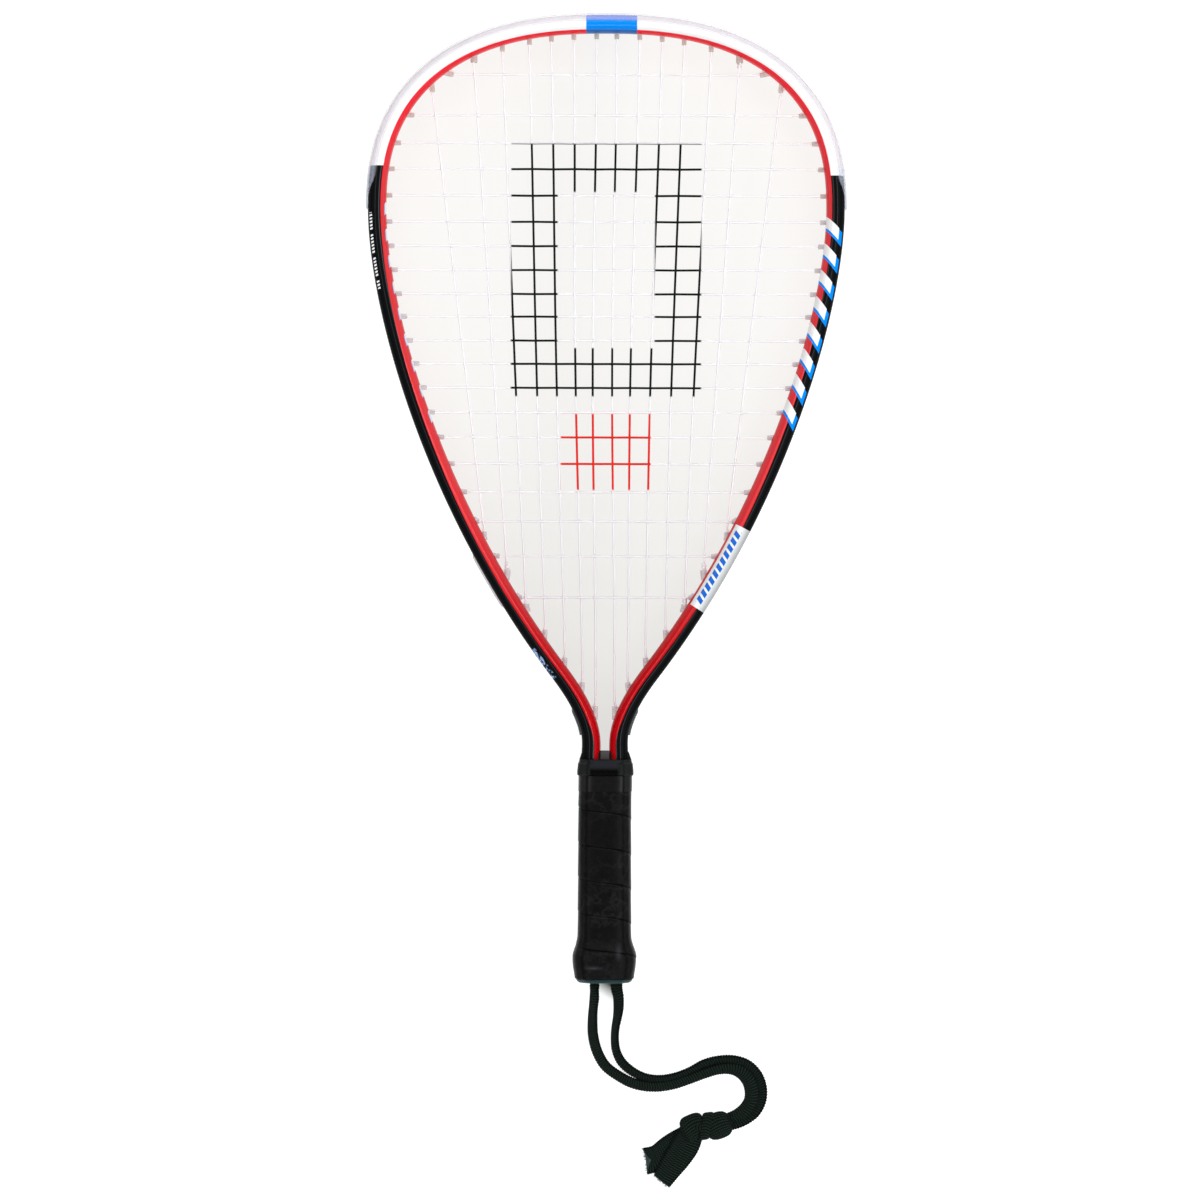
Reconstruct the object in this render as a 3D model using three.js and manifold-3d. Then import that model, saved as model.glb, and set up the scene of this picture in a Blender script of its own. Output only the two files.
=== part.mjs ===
// A racquetball racket lying flat on its face plane, with its wrist cord on the table beside the butt.
// Millimetres, +Z up. The racket points along +Y, its strings lie level, and its lowest point is at z = 0.
// Inside the racket group a point is (across, height above the butt end, height above the string plane).
import * as THREE from "three";
import { mergeVertices } from "three/addons/utils/BufferGeometryUtils.js";
import Module from "manifold-3d";

// Whole racket
const LENGTH = 559; // butt end to the outside of the bumper at the head
const GAP = 0.3; // running gap between pieces that touch
const OVERRUN = 1; // how far a cut passes what it cuts
const MERGE_DISTANCE = 1e-4; // corners nearer than this are one

// Frame tube section, half sizes
const TUBE_HALF_WIDTH = 5.25;
const TUBE_HALF_WIDTH_TOP = 4.8;
const TUBE_HALF_WIDTH_THROAT = 5.1;
const TUBE_HALF_WIDTH_SHAFT = 4;
const TUBE_HALF_DEPTH = 10;
const TUBE_HALF_DEPTH_SHAFT = 8.4;
const TUBE_SLIM_DROP = 47.5; // the tube slims from this far below the top of the head
const TUBE_WALL = 1.1;
const TUBE_SHARES = [[-1, 0.3], [-0.76, 0.77], [0.05, 1]]; // of the half width and half depth
const TUBE_EDGE_SHARES = [[0.7, 0.87], [1, 0.58]]; // of the outer edge and half depth
const HOLLOW_SHARES = [[-1, 0.24], [-0.8, 0.66], [0.03, 1]];
const HOLLOW_FLOOR_SHARE = 0.62;
const GROOVE_HALF = 3.8;
const GROOVE_DEPTH = 2.7;
const GROOVE_DEPTH_SHAFT = 0.5;
const GROOVE_RUN_IN = 12; // the groove deepens over this height
const GROOVE_AHEAD = 2; // and has its full depth this far above the grommet strips' ends

// Grommets and bumper guard
const BORE_RADIUS = 1.3;
const BORE_RADIUS_TIE = 2.4;
const BARREL_WALL = 0.4;
const BARREL_REACH = 4.5; // how far a barrel stands inside the hoop
const BARREL_REACH_SHORT = 1.5;
const HOLE_LEAN_SHARE = 0.15; // how far a hole turns from square towards its string
const STRIP_THICKNESS = 0.8;
const STRIP_TAIL = 8.1; // the strips run on this far past their lowest hole
const STRIP_ROOT_SHARE = 0.25; // of the strip's thickness that a barrel reaches into
const BUMPER_THICKNESS = 1.2;
const BUMPER_LAP = 3.6; // how far it comes in over the frame's faces from the tube's outer edge
const BUMPER_JOINT = 1.5; // between the bumper's end and the grommet strip
const BUMPER_SHARES = [0.95, 0.75, 0.9, 0.6]; // of the half depth, edge, half depth and half depth

// Frame tube: its centre line as half widths, and heights above the butt end
const YOKE_HALF = 2.6; // half width of the block between the tube's two ends
const SHAFT_CLEAR_HALF = 3.1; // half the clear width between the two ends in the handle
const HEAD_HALF = 132.15;
const HEAD_CROWN = 109.55; // from where the head is widest up to its top
const HEAD_ROUNDNESS_SHARE = 2.42; // exponent of the head's upper oval, where 2 is an ellipse
const SIDE_REACH_SHARES = [0.42, 0.204]; // handles of the long side curve over its straight length
const LIMB_HALF = 26.6; // where the side curve meets the throat curve
const LIMB_RISE = 47.9;
const LIMB_ANGLE = 0.65; // radians from the racket's axis
const THROAT_REACH_SHARES = [0.156, 0.7]; // handles of the throat curve over its straight length
const THROAT_HEIGHT = 131;
const THROAT_BEND = 15; // the two ends draw together over this height, in the collar
const BEND_HANDLE_SHARES = [1 / 3, 2 / 3];
const SHAFT_END = 31;

// Strings
const STRING_DIAMETER = 1.3;
const STRING_GAP = 0.3; // clear distance where two strings cross
const LANE = 1.9; // mains and crosses keep to their own side of the groove
const PAIR_CLEAR = 0.1; // off the middle of a hole that two strings share
const MAIN_TOP_SHARES = [0.044, 0.144, 0.242, 0.338, 0.456, 0.58, 0.76]; // of the head's half width
const MAIN_FOOT_SHARES = [0.041, 0.098, 0.175, 0.262, 0.346, 0.429, 0.529];
const CROSS_SHARES = [
  0.923, 0.86, 0.817, 0.777, 0.736, 0.6955, 0.658, 0.621, 0.584, 0.549,
  0.512, 0.476, 0.439, 0.401, 0.3625, 0.3215, 0.278, 0.2325, 0.179, 0.115,
]; // of the height from the limbs to the top of the head
const SHORT_CROSS_INDEXES = [17, 19]; // longer grommets here would touch the string beside them
const SHORT_MAIN_INDEXES = [4, 6];
const TIE_MAIN_INDEX = 5; // the mains' ends are tied off at this main
const TIE_CROSS_INDEX = 4; // the lower end of the crosses is tied off at this main
const BUMPER_CROSS_INDEX = 4; // the last cross that passes through the bumper
const KNOT_RADIUS = 1.7;
const BEND_LEAD = 0.6; // a string bends this far inside a barrel's tip
const CHANNEL_EASE = 2.6; // a string reaches its lane this far past a hole
const CHANNEL_STEP = 10.4;

// Handle: half sizes across and deep of its octagonal sections
const PALLET_WALL = 1.3;
const PALLET_WALL_DEEP = 2.8;
const SPIGOT_STEP = 1.7; // the part inside the butt cap is this much slimmer
const SPIGOT_END = 9;
const CORNER_SHARE = 0.42; // an octagon's corner cut over its half size
const TUBE_ROOM_SHARES = [0.6, 0.62];

// Butt cap: heights of the seat that the tape lies on, and how far it flares
const CAP_FLARE = 3.45;
const CAP_FLARE_DEEP = 3.2;
const CAP_TOP = 25;
const CAP_FLARE_TOP = 12.6;
const CAP_FLARE_FOOT = 9;
const CAP_RIM = 2;
const CAP_RIM_SHARES = [0.9, 0.98, 1.02];
const CAP_SEAT_SHARE = 0.96;
const CAP_TAPER_SHARES = [1 / 3, 2 / 3, 1];
const CAP_WALL = 2.6;
const SLOT_HALF = 6.3;
const SLOT_CLEAR = 0.4; // round the lace in its slot

// Staples that hold the cap to the handle halves
const STAPLE_WIRE = 0.8;
const STAPLE_CROWN = 9;
const STAPLE_LEG = 5.5;
const STAPLE_DROP = 5.5; // below the cap's top

// Grip tape and the bands above it
const TAPE_THICKNESS = 1.7;
const TAPE_PITCH = 19.6;
const TAPE_SEAM = 0.6; // clear gap between turns
const TAPE_BRIDGE = 2.4; // the tape spans the foot of the cap's flare this much higher
const TAPE_REVEAL = 0.4; // of the cap's rim below the tape
const TAPE_TUCK = 2.2; // from the tape's top to the finishing tape's
const TAPE_PHASE_SHARE = -0.55; // of a turn at which the first seam passes the front
const TAPE_TURN_STEPS = 8;
const TAPE_WIDTH_STEPS = 3;
const TAPE_END_STEPS = [2, 1]; // left off at the foot and at the top, where the ribbon comes to a point
const BAND_LENGTH = 8.9;
const BAND_THICKNESS = 0.5;
const COLLAR_LENGTH = 13.3;
const COLLAR_RISE = 1.8; // above the frame's throat
const COLLAR_FACE_DROP = 4; // its front and back end this much lower
const COLLAR_LIP = 1.2; // outside the frame's faces, where the collar stands up
const COLLAR_PROUD = 0.5; // of the finishing tape
const COLLAR_HEIGHT_SHARES = [0, 0.2, 0.5, 0.8, 1];
const COLLAR_WIDTH_SHARES = [0.97, 1, 1, 0.96, 0.9];
const YOKE_HALF_DEPTH = 7.4;
const YOKE_RISE = 0.6; // above the collar

// Wrist cord: a flat braided lace
const LACE_WIDTH = 7;
const LACE_THICKNESS = 3;
const ANCHOR_WIDTH = 4.4;
const ANCHOR_HEIGHT = 6.4;
const ANCHOR_RISE = 6.2;
const ANCHOR_LEG = 1; // straight above the cap's floor
const TAIL_WIDTH = 13.5;
const TAIL_THICKNESS = 1.6;
const KNOT_HALF_SIZES = [
  [7.7, 7.6, 5.4],
  [8.2, 6.2, 4.7],
];
const KNOT_CENTRES = [
  [66.3, -82.4],
  [51.6, -82.1],
];

// Sides of round sections, rings of lofts and points of curves
const ROUND_SIDES = 4; // of strings, holes, barrels and bores
const LACE_SIDES = 8;
const KNOT_SIDES = 14;
const KNOT_RINGS = 9;
const CURVE_STEPS = 60;
const SEARCH_STEPS = 40;
const THROAT_STEPS = 6;
const SIDE_STEPS = 12;
const HEAD_STEPS = 12;
const STRIP_STEPS = 22;
const BUMPER_STEPS = 15;

// Worked out from the sizes above
const HEAD_TOP = LENGTH - BUMPER_THICKNESS - TUBE_HALF_WIDTH;
const HEAD_WIDEST = HEAD_TOP - HEAD_CROWN;
const TUBE_SLIM_START = HEAD_TOP - TUBE_SLIM_DROP;
const LIMB_HEIGHT = THROAT_HEIGHT + LIMB_RISE;
const THROAT_HALF = YOKE_HALF + GAP + TUBE_HALF_WIDTH_THROAT;
const SHAFT_HALF = SHAFT_CLEAR_HALF + TUBE_HALF_WIDTH_SHAFT;
const SHAFT_TOP = THROAT_HEIGHT - THROAT_BEND;
const COLLAR_TOP = THROAT_HEIGHT + COLLAR_RISE;
const COLLAR_FOOT = COLLAR_TOP - COLLAR_LENGTH;
const COLLAR_FACE_TOP = COLLAR_TOP - COLLAR_FACE_DROP;
const COLLAR_FACE_HALF_DEPTH = TUBE_HALF_DEPTH + COLLAR_LIP;
const YOKE_TOP = COLLAR_TOP + YOKE_RISE;
const PALLET_TOP = COLLAR_FOOT - GAP;
const PALLET_SHOULDER = CAP_TOP + GAP;
const PALLET_HALF_WIDTH = SHAFT_HALF + TUBE_HALF_WIDTH_SHAFT + GAP + PALLET_WALL;
const PALLET_HALF_DEPTH = TUBE_HALF_DEPTH_SHAFT + GAP + PALLET_WALL_DEEP;
const SPIGOT_HALF_WIDTH = PALLET_HALF_WIDTH - SPIGOT_STEP;
const SPIGOT_HALF_DEPTH = PALLET_HALF_DEPTH - SPIGOT_STEP;
const CAP_HALF_WIDTH = PALLET_HALF_WIDTH + CAP_FLARE;
const CAP_HALF_DEPTH = PALLET_HALF_DEPTH + CAP_FLARE_DEEP;
const STAPLE_HEIGHT = CAP_TOP - STAPLE_DROP;
const BAND_TOP = PALLET_TOP;
const BAND_FOOT = BAND_TOP - BAND_LENGTH;
const TAPE_TOP = BAND_TOP - TAPE_TUCK;
const TAPE_FOOT = CAP_RIM + TAPE_REVEAL;
const TAPE_SEAT_GAP = GAP;
const WRAP = TAPE_SEAT_GAP + TAPE_THICKNESS + GAP + BAND_THICKNESS;
const COLLAR_HALF_WIDTH = PALLET_HALF_WIDTH + WRAP + COLLAR_PROUD;
const COLLAR_HALF_DEPTH = PALLET_HALF_DEPTH + WRAP + COLLAR_PROUD;
const AXIS_HEIGHT = CAP_HALF_DEPTH + TAPE_SEAT_GAP + TAPE_THICKNESS;
const FLOOR = -AXIS_HEIGHT;
const STRING_RADIUS = STRING_DIAMETER / 2;
const PAIR = STRING_RADIUS + PAIR_CLEAR; // a string that shares a hole is this far off its middle
const STRIP_FOOT = TUBE_HALF_WIDTH - GROOVE_DEPTH + GAP;
const STRING_LEVEL = STRIP_FOOT + STRIP_THICKNESS + GAP + STRING_RADIUS;
const CROSS_HEIGHTS = CROSS_SHARES.map((share) => LIMB_HEIGHT + (HEAD_TOP - LIMB_HEIGHT) * share);
const BUMPER_END = (CROSS_HEIGHTS[BUMPER_CROSS_INDEX] + CROSS_HEIGHTS[BUMPER_CROSS_INDEX + 1]) / 2;

const wasm = await Module();
wasm.setup();

// Turns a closed geometry into a solid, facing outwards.
function solid(geometry) {
  const plain = new THREE.BufferGeometry();
  const source = geometry.index ? geometry.toNonIndexed() : geometry;
  plain.setAttribute("position", source.getAttribute("position"));
  const merged = mergeVertices(plain, MERGE_DISTANCE);
  const triVerts = new Uint32Array(merged.index.array);
  const vertProperties = new Float32Array(merged.attributes.position.array);
  const made = new wasm.Manifold(new wasm.Mesh({ numProp: 3, vertProperties, triVerts }));
  if (made.volume() > 0) return made;
  for (let i = 0; i < triVerts.length; i += 3) {
    [triVerts[i + 1], triVerts[i + 2]] = [triVerts[i + 2], triVerts[i + 1]];
  }
  return new wasm.Manifold(new wasm.Mesh({ numProp: 3, vertProperties, triVerts }));
}

function geometryOf(body) {
  const mesh = body.getMesh();
  const geometry = new THREE.BufferGeometry();
  geometry.setAttribute("position", new THREE.BufferAttribute(new Float32Array(mesh.vertProperties), 3));
  geometry.setIndex([...mesh.triVerts]);
  geometry.computeVertexNormals();
  return geometry;
}

function joinAll(bodies) {
  return bodies.reduce((whole, body) => whole.add(body));
}

// A closed skin over rings of equally many points. The caps are cut from the end rings' outline.
function loft(rings, outline) {
  const count = rings[0].length;
  const points = rings.flat();
  const positions = points.flatMap((p) => [p.x, p.y, p.z]);
  const index = [];
  for (let r = 0; r + 1 < rings.length; r += 1) {
    for (let i = 0; i < count; i += 1) {
      const a = r * count + i;
      const b = r * count + ((i + 1) % count);
      index.push(a, b, b + count, a, b + count, a + count);
    }
  }
  const last = (rings.length - 1) * count;
  const turn = THREE.ShapeUtils.isClockWise(outline);
  for (const face of THREE.ShapeUtils.triangulateShape(outline, [])) {
    const agrees = THREE.ShapeUtils.isClockWise(face.map((i) => outline[i])) === turn;
    const [a, b, c] = agrees ? face : [...face].reverse();
    index.push(a, c, b, last + a, last + b, last + c);
  }
  const geometry = new THREE.BufferGeometry();
  geometry.setAttribute("position", new THREE.Float32BufferAttribute(positions, 3));
  geometry.setIndex(index);
  return solid(geometry);
}

function regularOutline(sides, radius) {
  return Array.from({ length: sides }, (_, i) => {
    const angle = (2 * Math.PI * (i + 0.5)) / sides;
    return new THREE.Vector2(radius * Math.cos(angle), radius * Math.sin(angle));
  });
}

// A tube along a line of points: every ring is the last one carried along its stretch to the
// plane that halves the bend, so the section keeps its size and never twists.
function tube(points, outline) {
  const ahead = points.slice(1).map((p, i) => p.clone().sub(points[i]).normalize());
  const up = Math.abs(ahead[0].z) > 0.9 ? new THREE.Vector3(1, 0, 0) : new THREE.Vector3(0, 0, 1);
  const side = new THREE.Vector3().crossVectors(ahead[0], up).normalize();
  const rise = new THREE.Vector3().crossVectors(side, ahead[0]);
  let ring = outline.map((q) => points[0].clone().addScaledVector(side, q.x).addScaledVector(rise, q.y));
  const rings = [ring];
  for (let i = 1; i < points.length; i += 1) {
    const way = ahead[i - 1];
    const halving = way.clone().add(ahead[i] || way).normalize();
    ring = ring.map((p) => {
      const step = points[i].clone().sub(p).dot(halving) / way.dot(halving);
      return p.clone().addScaledVector(way, step);
    });
    rings.push(ring);
  }
  return loft(rings, outline);
}

function block(low, high) {
  const size = high.map((v, i) => v - low[i]);
  const geometry = new THREE.BoxGeometry(...size);
  geometry.translate(...high.map((v, i) => (v + low[i]) / 2));
  return solid(geometry);
}

function ramp(value, from, to) {
  return THREE.MathUtils.smoothstep(value, from, to);
}

function mix(a, b, share) {
  return a + (b - a) * share;
}

// The frame's centre line

function halfLine() {
  const line = [new THREE.Vector2(SHAFT_HALF, SHAFT_END)];
  const v = (x, y) => new THREE.Vector2(x, y);
  const lean = v(Math.sin(LIMB_ANGLE), Math.cos(LIMB_ANGLE));
  const limb = v(LIMB_HALF, LIMB_HEIGHT);
  const throat = v(THROAT_HALF, THROAT_HEIGHT);
  const widest = v(HEAD_HALF, HEAD_WIDEST);
  const throatSpan = throat.distanceTo(limb);
  const sideSpan = limb.distanceTo(widest);
  const curves = [
    new THREE.LineCurve(v(SHAFT_HALF, SHAFT_END), v(SHAFT_HALF, SHAFT_TOP)),
    new THREE.CubicBezierCurve(
      v(SHAFT_HALF, SHAFT_TOP),
      v(SHAFT_HALF, mix(SHAFT_TOP, THROAT_HEIGHT, BEND_HANDLE_SHARES[0])),
      v(THROAT_HALF, mix(SHAFT_TOP, THROAT_HEIGHT, BEND_HANDLE_SHARES[1])),
      throat,
    ),
    new THREE.CubicBezierCurve(
      throat,
      throat.clone().add(v(0, throatSpan * THROAT_REACH_SHARES[0])),
      limb.clone().addScaledVector(lean, -throatSpan * THROAT_REACH_SHARES[1]),
      limb,
    ),
    new THREE.CubicBezierCurve(
      limb,
      limb.clone().addScaledVector(lean, sideSpan * SIDE_REACH_SHARES[0]),
      widest.clone().sub(v(0, sideSpan * SIDE_REACH_SHARES[1])),
      widest,
    ),
  ];
  for (const curve of curves) line.push(...curve.getPoints(CURVE_STEPS).slice(1));
  const power = 2 / HEAD_ROUNDNESS_SHARE;
  for (let i = 1; i <= CURVE_STEPS; i += 1) {
    const angle = (Math.PI / 2) * (i / CURVE_STEPS);
    line.push(
      v(
        HEAD_HALF * Math.max(Math.cos(angle), 0) ** power,
        HEAD_WIDEST + (HEAD_TOP - HEAD_WIDEST) * Math.sin(angle) ** power,
      ),
    );
  }
  line[line.length - 1].x = 0;
  return line;
}

const CENTRE_LINE = (() => {
  const right = halfLine();
  const left = right.map((p) => new THREE.Vector2(-p.x, p.y));
  const points = [...left, ...right.slice(0, -1).reverse()];
  const lengths = [0];
  for (let i = 1; i < points.length; i += 1) {
    lengths.push(lengths[i - 1] + points[i].distanceTo(points[i - 1]));
  }
  return { points, lengths, total: lengths[lengths.length - 1] };
})();

// The point, direction and outward normal at a length along the centre line, from the left end.
function along(length) {
  const { points, lengths } = CENTRE_LINE;
  let i = lengths.findIndex((l) => l > length);
  if (i < 0) i = lengths.length - 1;
  if (i === 0) i = 1;
  const share = (length - lengths[i - 1]) / (lengths[i] - lengths[i - 1]);
  const point = points[i - 1].clone().lerp(points[i], share);
  const before = points[Math.max(i - 3, 0)];
  const after = points[Math.min(i + 2, points.length - 1)];
  const ahead = after.clone().sub(before).normalize();
  return { point, ahead, out: new THREE.Vector2(-ahead.y, ahead.x) };
}

function place(length, out, z) {
  const at = along(length);
  const p = at.point.clone().addScaledVector(at.out, out);
  return new THREE.Vector3(p.x, p.y, z);
}

// The length along the centre line at a height, on the left (-1) or right (1) side.
function lengthAtHeight(height, side) {
  const { points, lengths, total } = CENTRE_LINE;
  const i = points.findIndex((p) => p.y > height);
  const share = (height - points[i - 1].y) / (points[i].y - points[i - 1].y);
  const left = mix(lengths[i - 1], lengths[i], share);
  return side < 0 ? left : total - left;
}

// The frame tube's section

function tubeHalfWidth(height) {
  const shaft = mix(TUBE_HALF_WIDTH_SHAFT, TUBE_HALF_WIDTH_THROAT, ramp(height, SHAFT_TOP, THROAT_HEIGHT));
  const limb = mix(shaft, TUBE_HALF_WIDTH, ramp(height, THROAT_HEIGHT, LIMB_HEIGHT));
  return mix(limb, TUBE_HALF_WIDTH_TOP, ramp(height, TUBE_SLIM_START, HEAD_TOP));
}

function tubeHalfDepth(height) {
  return mix(TUBE_HALF_DEPTH_SHAFT, TUBE_HALF_DEPTH, ramp(height, SHAFT_TOP, THROAT_HEIGHT));
}

// Joins the upper half of an outline to its mirror image below.
function closed(half) {
  const lower = half.map(([x, y]) => [x, -y]).reverse();
  return [...half, ...lower].map(([x, y]) => new THREE.Vector2(x, y));
}

function grooveShare(height) {
  return ramp(height, GROOVE_FULL - GROOVE_RUN_IN, GROOVE_FULL);
}

// The outer edge is level with the widest tube wherever there is a groove, so the strings' channel
// keeps its depth.
function tubeEdge(height) {
  return mix(tubeHalfWidth(height), TUBE_HALF_WIDTH, grooveShare(height));
}

function grooveFloor(height) {
  return tubeEdge(height) - mix(GROOVE_DEPTH_SHAFT, GROOVE_DEPTH, grooveShare(height));
}

function tubeOutline(height) {
  const width = tubeHalfWidth(height);
  const edge = tubeEdge(height);
  const depth = tubeHalfDepth(height);
  return closed([
    ...TUBE_SHARES.map(([x, y]) => [x * width, y * depth]),
    ...TUBE_EDGE_SHARES.map(([x, y]) => [x * edge, y * depth]),
    [edge, GROOVE_HALF],
    [grooveFloor(height), GROOVE_HALF],
  ]);
}

function hollowOutline(height) {
  const width = tubeHalfWidth(height);
  const depth = tubeHalfDepth(height);
  const [inner, shoulder, crest] = HOLLOW_SHARES;
  return closed([
    [inner[0] * width + TUBE_WALL, inner[1] * depth],
    [shoulder[0] * width + TUBE_WALL, shoulder[1] * depth],
    [crest[0] * width, crest[1] * depth - TUBE_WALL],
    [grooveFloor(height) - TUBE_WALL, HOLLOW_FLOOR_SHARE * depth],
  ]);
}

function loftAlong(lengths, outlineAt) {
  const rings = lengths.map((length) => {
    const outline = outlineAt(along(length).point.y);
    return outline.map((q) => place(length, q.x, q.y));
  });
  return loft(rings, outlineAt(along(lengths[0]).point.y));
}

function spread(from, to, count) {
  return Array.from({ length: count }, (_, i) => mix(from, to, i / count));
}

// Ring places of the frame: few on the shafts, more where it bends.
function frameStations() {
  const { total } = CENTRE_LINE;
  const left = [
    0,
    lengthAtHeight(SHAFT_TOP, -1),
    lengthAtHeight((SHAFT_TOP + THROAT_HEIGHT) / 2, -1),
    ...spread(lengthAtHeight(THROAT_HEIGHT, -1), lengthAtHeight(LIMB_HEIGHT, -1), THROAT_STEPS),
    ...spread(lengthAtHeight(LIMB_HEIGHT, -1), lengthAtHeight(HEAD_WIDEST, -1), SIDE_STEPS),
    ...spread(lengthAtHeight(HEAD_WIDEST, -1), total / 2, HEAD_STEPS),
  ];
  const right = left.map((l) => total - l).reverse();
  return [...left, total / 2, ...right];
}

// Places of the string holes

// A hole at a length along the frame: its barrel's tip inside the hoop, the point where its
// axis meets the string channel, and the direction outwards.
function holeAt(length, stringWay, reach) {
  const at = along(length);
  const lean = (stringWay.dot(at.ahead) / stringWay.dot(at.out)) * HOLE_LEAN_SHARE;
  const inner = -tubeHalfWidth(at.point.y);
  const entry = at.point.clone().addScaledVector(at.out, inner);
  const channelLength = length + lean * (STRING_LEVEL - inner);
  const channel = place(channelLength, STRING_LEVEL, 0);
  const way = new THREE.Vector2(channel.x, channel.y).sub(entry).normalize();
  const tip = entry.clone().addScaledVector(way, -reach);
  return { length: channelLength, tip, channel: new THREE.Vector2(channel.x, channel.y), way };
}

// Slides the hole along the frame until its tip lies on the string's line.
function findHole(from, to, stringWay, reach, missOf) {
  let low = from;
  let high = to;
  const sign = Math.sign(missOf(holeAt(low, stringWay, reach).tip));
  for (let i = 0; i < SEARCH_STEPS; i += 1) {
    const middle = (low + high) / 2;
    if (Math.sign(missOf(holeAt(middle, stringWay, reach).tip)) === sign) low = middle;
    else high = middle;
  }
  return holeAt((low + high) / 2, stringWay, reach);
}

function mirrored(hole) {
  const turn = (p) => new THREE.Vector2(-p.x, p.y);
  return {
    ...hole,
    length: CENTRE_LINE.total - hole.length,
    tip: turn(hole.tip),
    channel: turn(hole.channel),
    way: turn(hole.way),
  };
}

function bothSides(hole) {
  return { left: hole, right: mirrored(hole) };
}

const up = new THREE.Vector2(0, 1);
const down = new THREE.Vector2(0, -1);
const leftwards = new THREE.Vector2(-1, 0);
const throatLength = lengthAtHeight(THROAT_HEIGHT, -1);
const widestLength = lengthAtHeight(HEAD_WIDEST, -1);

const MAIN_TOPS = MAIN_TOP_SHARES.map((share, i) => {
  const missOf = (tip) => tip.x + share * HEAD_HALF;
  const hole = findHole(widestLength, CENTRE_LINE.total / 2, up, BARREL_REACH, missOf);
  hole.tie = i === TIE_MAIN_INDEX;
  return bothSides(hole);
});
const MAIN_FEET = MAIN_FOOT_SHARES.map((share, i) => {
  const reach = SHORT_MAIN_INDEXES.includes(i) ? BARREL_REACH_SHORT : BARREL_REACH;
  const missOf = (tip) => tip.x + share * HEAD_HALF;
  const hole = findHole(throatLength, widestLength, down, reach, missOf);
  hole.tie = i === TIE_MAIN_INDEX || i === TIE_CROSS_INDEX;
  return bothSides(hole);
});
const CROSS_ENDS = CROSS_HEIGHTS.map((height, i) => {
  const reach = SHORT_CROSS_INDEXES.includes(i) ? BARREL_REACH_SHORT : BARREL_REACH;
  const end = CENTRE_LINE.total / 2;
  const hole = findHole(throatLength, end, leftwards, reach, (tip) => tip.y - height);
  hole.tie = false;
  return bothSides(hole);
});
const ALL_HOLES = [...MAIN_TOPS, ...MAIN_FEET, ...CROSS_ENDS].flatMap((h) => [h.left, h.right]);
const STRIP_START = Math.min(...ALL_HOLES.map((h) => h.length)) - STRIP_TAIL;
const GROOVE_FULL = along(STRIP_START).point.y + GROOVE_AHEAD;

function flat(point, z) {
  return new THREE.Vector3(point.x, point.y, z);
}

// A straight round prism on a hole's axis, between two distances outwards from the channel point.
function pin(hole, from, to, radius) {
  const start = hole.channel.clone().addScaledVector(hole.way, from);
  const end = hole.channel.clone().addScaledVector(hole.way, to);
  return tube([flat(start, 0), flat(end, 0)], regularOutline(ROUND_SIDES, radius));
}

function tipDistance(hole) {
  return -hole.channel.distanceTo(hole.tip);
}

function boreRadius(hole) {
  return hole.tie ? BORE_RADIUS_TIE : BORE_RADIUS;
}

function barrelRadius(hole) {
  return boreRadius(hole) + BARREL_WALL;
}

function holeRadius(hole) {
  return barrelRadius(hole) + GAP / Math.cos(Math.PI / ROUND_SIDES);
}

// The frame

function frameTube() {
  const stations = frameStations();
  const outer = loftAlong(stations, tubeOutline);
  const { total } = CENTRE_LINE;
  const inside = [-OVERRUN, ...stations.slice(1, -1), total + OVERRUN];
  const hollow = loftAlong(inside, hollowOutline);
  const holes = ALL_HOLES.map((hole) => pin(hole, tipDistance(hole), OVERRUN, holeRadius(hole)));
  return outer.subtract(hollow).subtract(joinAll(holes));
}

// Space that the tube takes up in the collar and the handle, with its gap.
function tubeRoom(top, side) {
  const stations = [
    SHAFT_END - OVERRUN - GAP,
    SHAFT_TOP,
    (SHAFT_TOP + THROAT_HEIGHT) / 2,
    THROAT_HEIGHT,
    top,
  ];
  const rings = stations.map((height) => {
    const half = Math.max(tubeHalfWidth(height), tubeEdge(height)) + GAP;
    const deep = tubeHalfDepth(height) + GAP;
    const length = lengthAtHeight(Math.max(height, SHAFT_END + OVERRUN), side);
    const at = along(length).point;
    return tubeRoomOutline(half, deep).map((q) => new THREE.Vector3(at.x + q.x, height, q.y));
  });
  return loft(rings, tubeRoomOutline(TUBE_HALF_WIDTH, TUBE_HALF_DEPTH));
}

function tubeRoomOutline(half, deep) {
  const [flatShare, sideShare] = TUBE_ROOM_SHARES;
  return closed([
    [-half, sideShare * deep],
    [-flatShare * half, deep],
    [flatShare * half, deep],
    [half, sideShare * deep],
  ]);
}

// Grommets: a strip in the groove, or the bumper guard, with a bored barrel at every hole

function withBarrels(base, holes) {
  const root = STRIP_FOOT - STRING_LEVEL + STRIP_THICKNESS * STRIP_ROOT_SHARE;
  const barrels = holes.map((hole) => pin(hole, tipDistance(hole), root, barrelRadius(hole)));
  const bores = holes.map((hole) => pin(hole, tipDistance(hole) - OVERRUN, OVERRUN, boreRadius(hole)));
  return base.add(joinAll(barrels)).subtract(joinAll(bores));
}

function stripOutline() {
  const half = GROOVE_HALF - GAP;
  return closed([
    [STRIP_FOOT, half],
    [STRIP_FOOT + STRIP_THICKNESS, half],
  ]);
}

function grommetStrip(side) {
  const foot = side < 0 ? STRIP_START : CENTRE_LINE.total - STRIP_START;
  const top = lengthAtHeight(BUMPER_END - BUMPER_JOINT, side);
  const stations = [...spread(foot, top, STRIP_STEPS), top];
  const base = loftAlong(stations, stripOutline);
  const holes = ALL_HOLES.filter((h) => Math.sign(h.tip.x) === side && h.tip.y < BUMPER_END);
  return withBarrels(base, holes);
}

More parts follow.
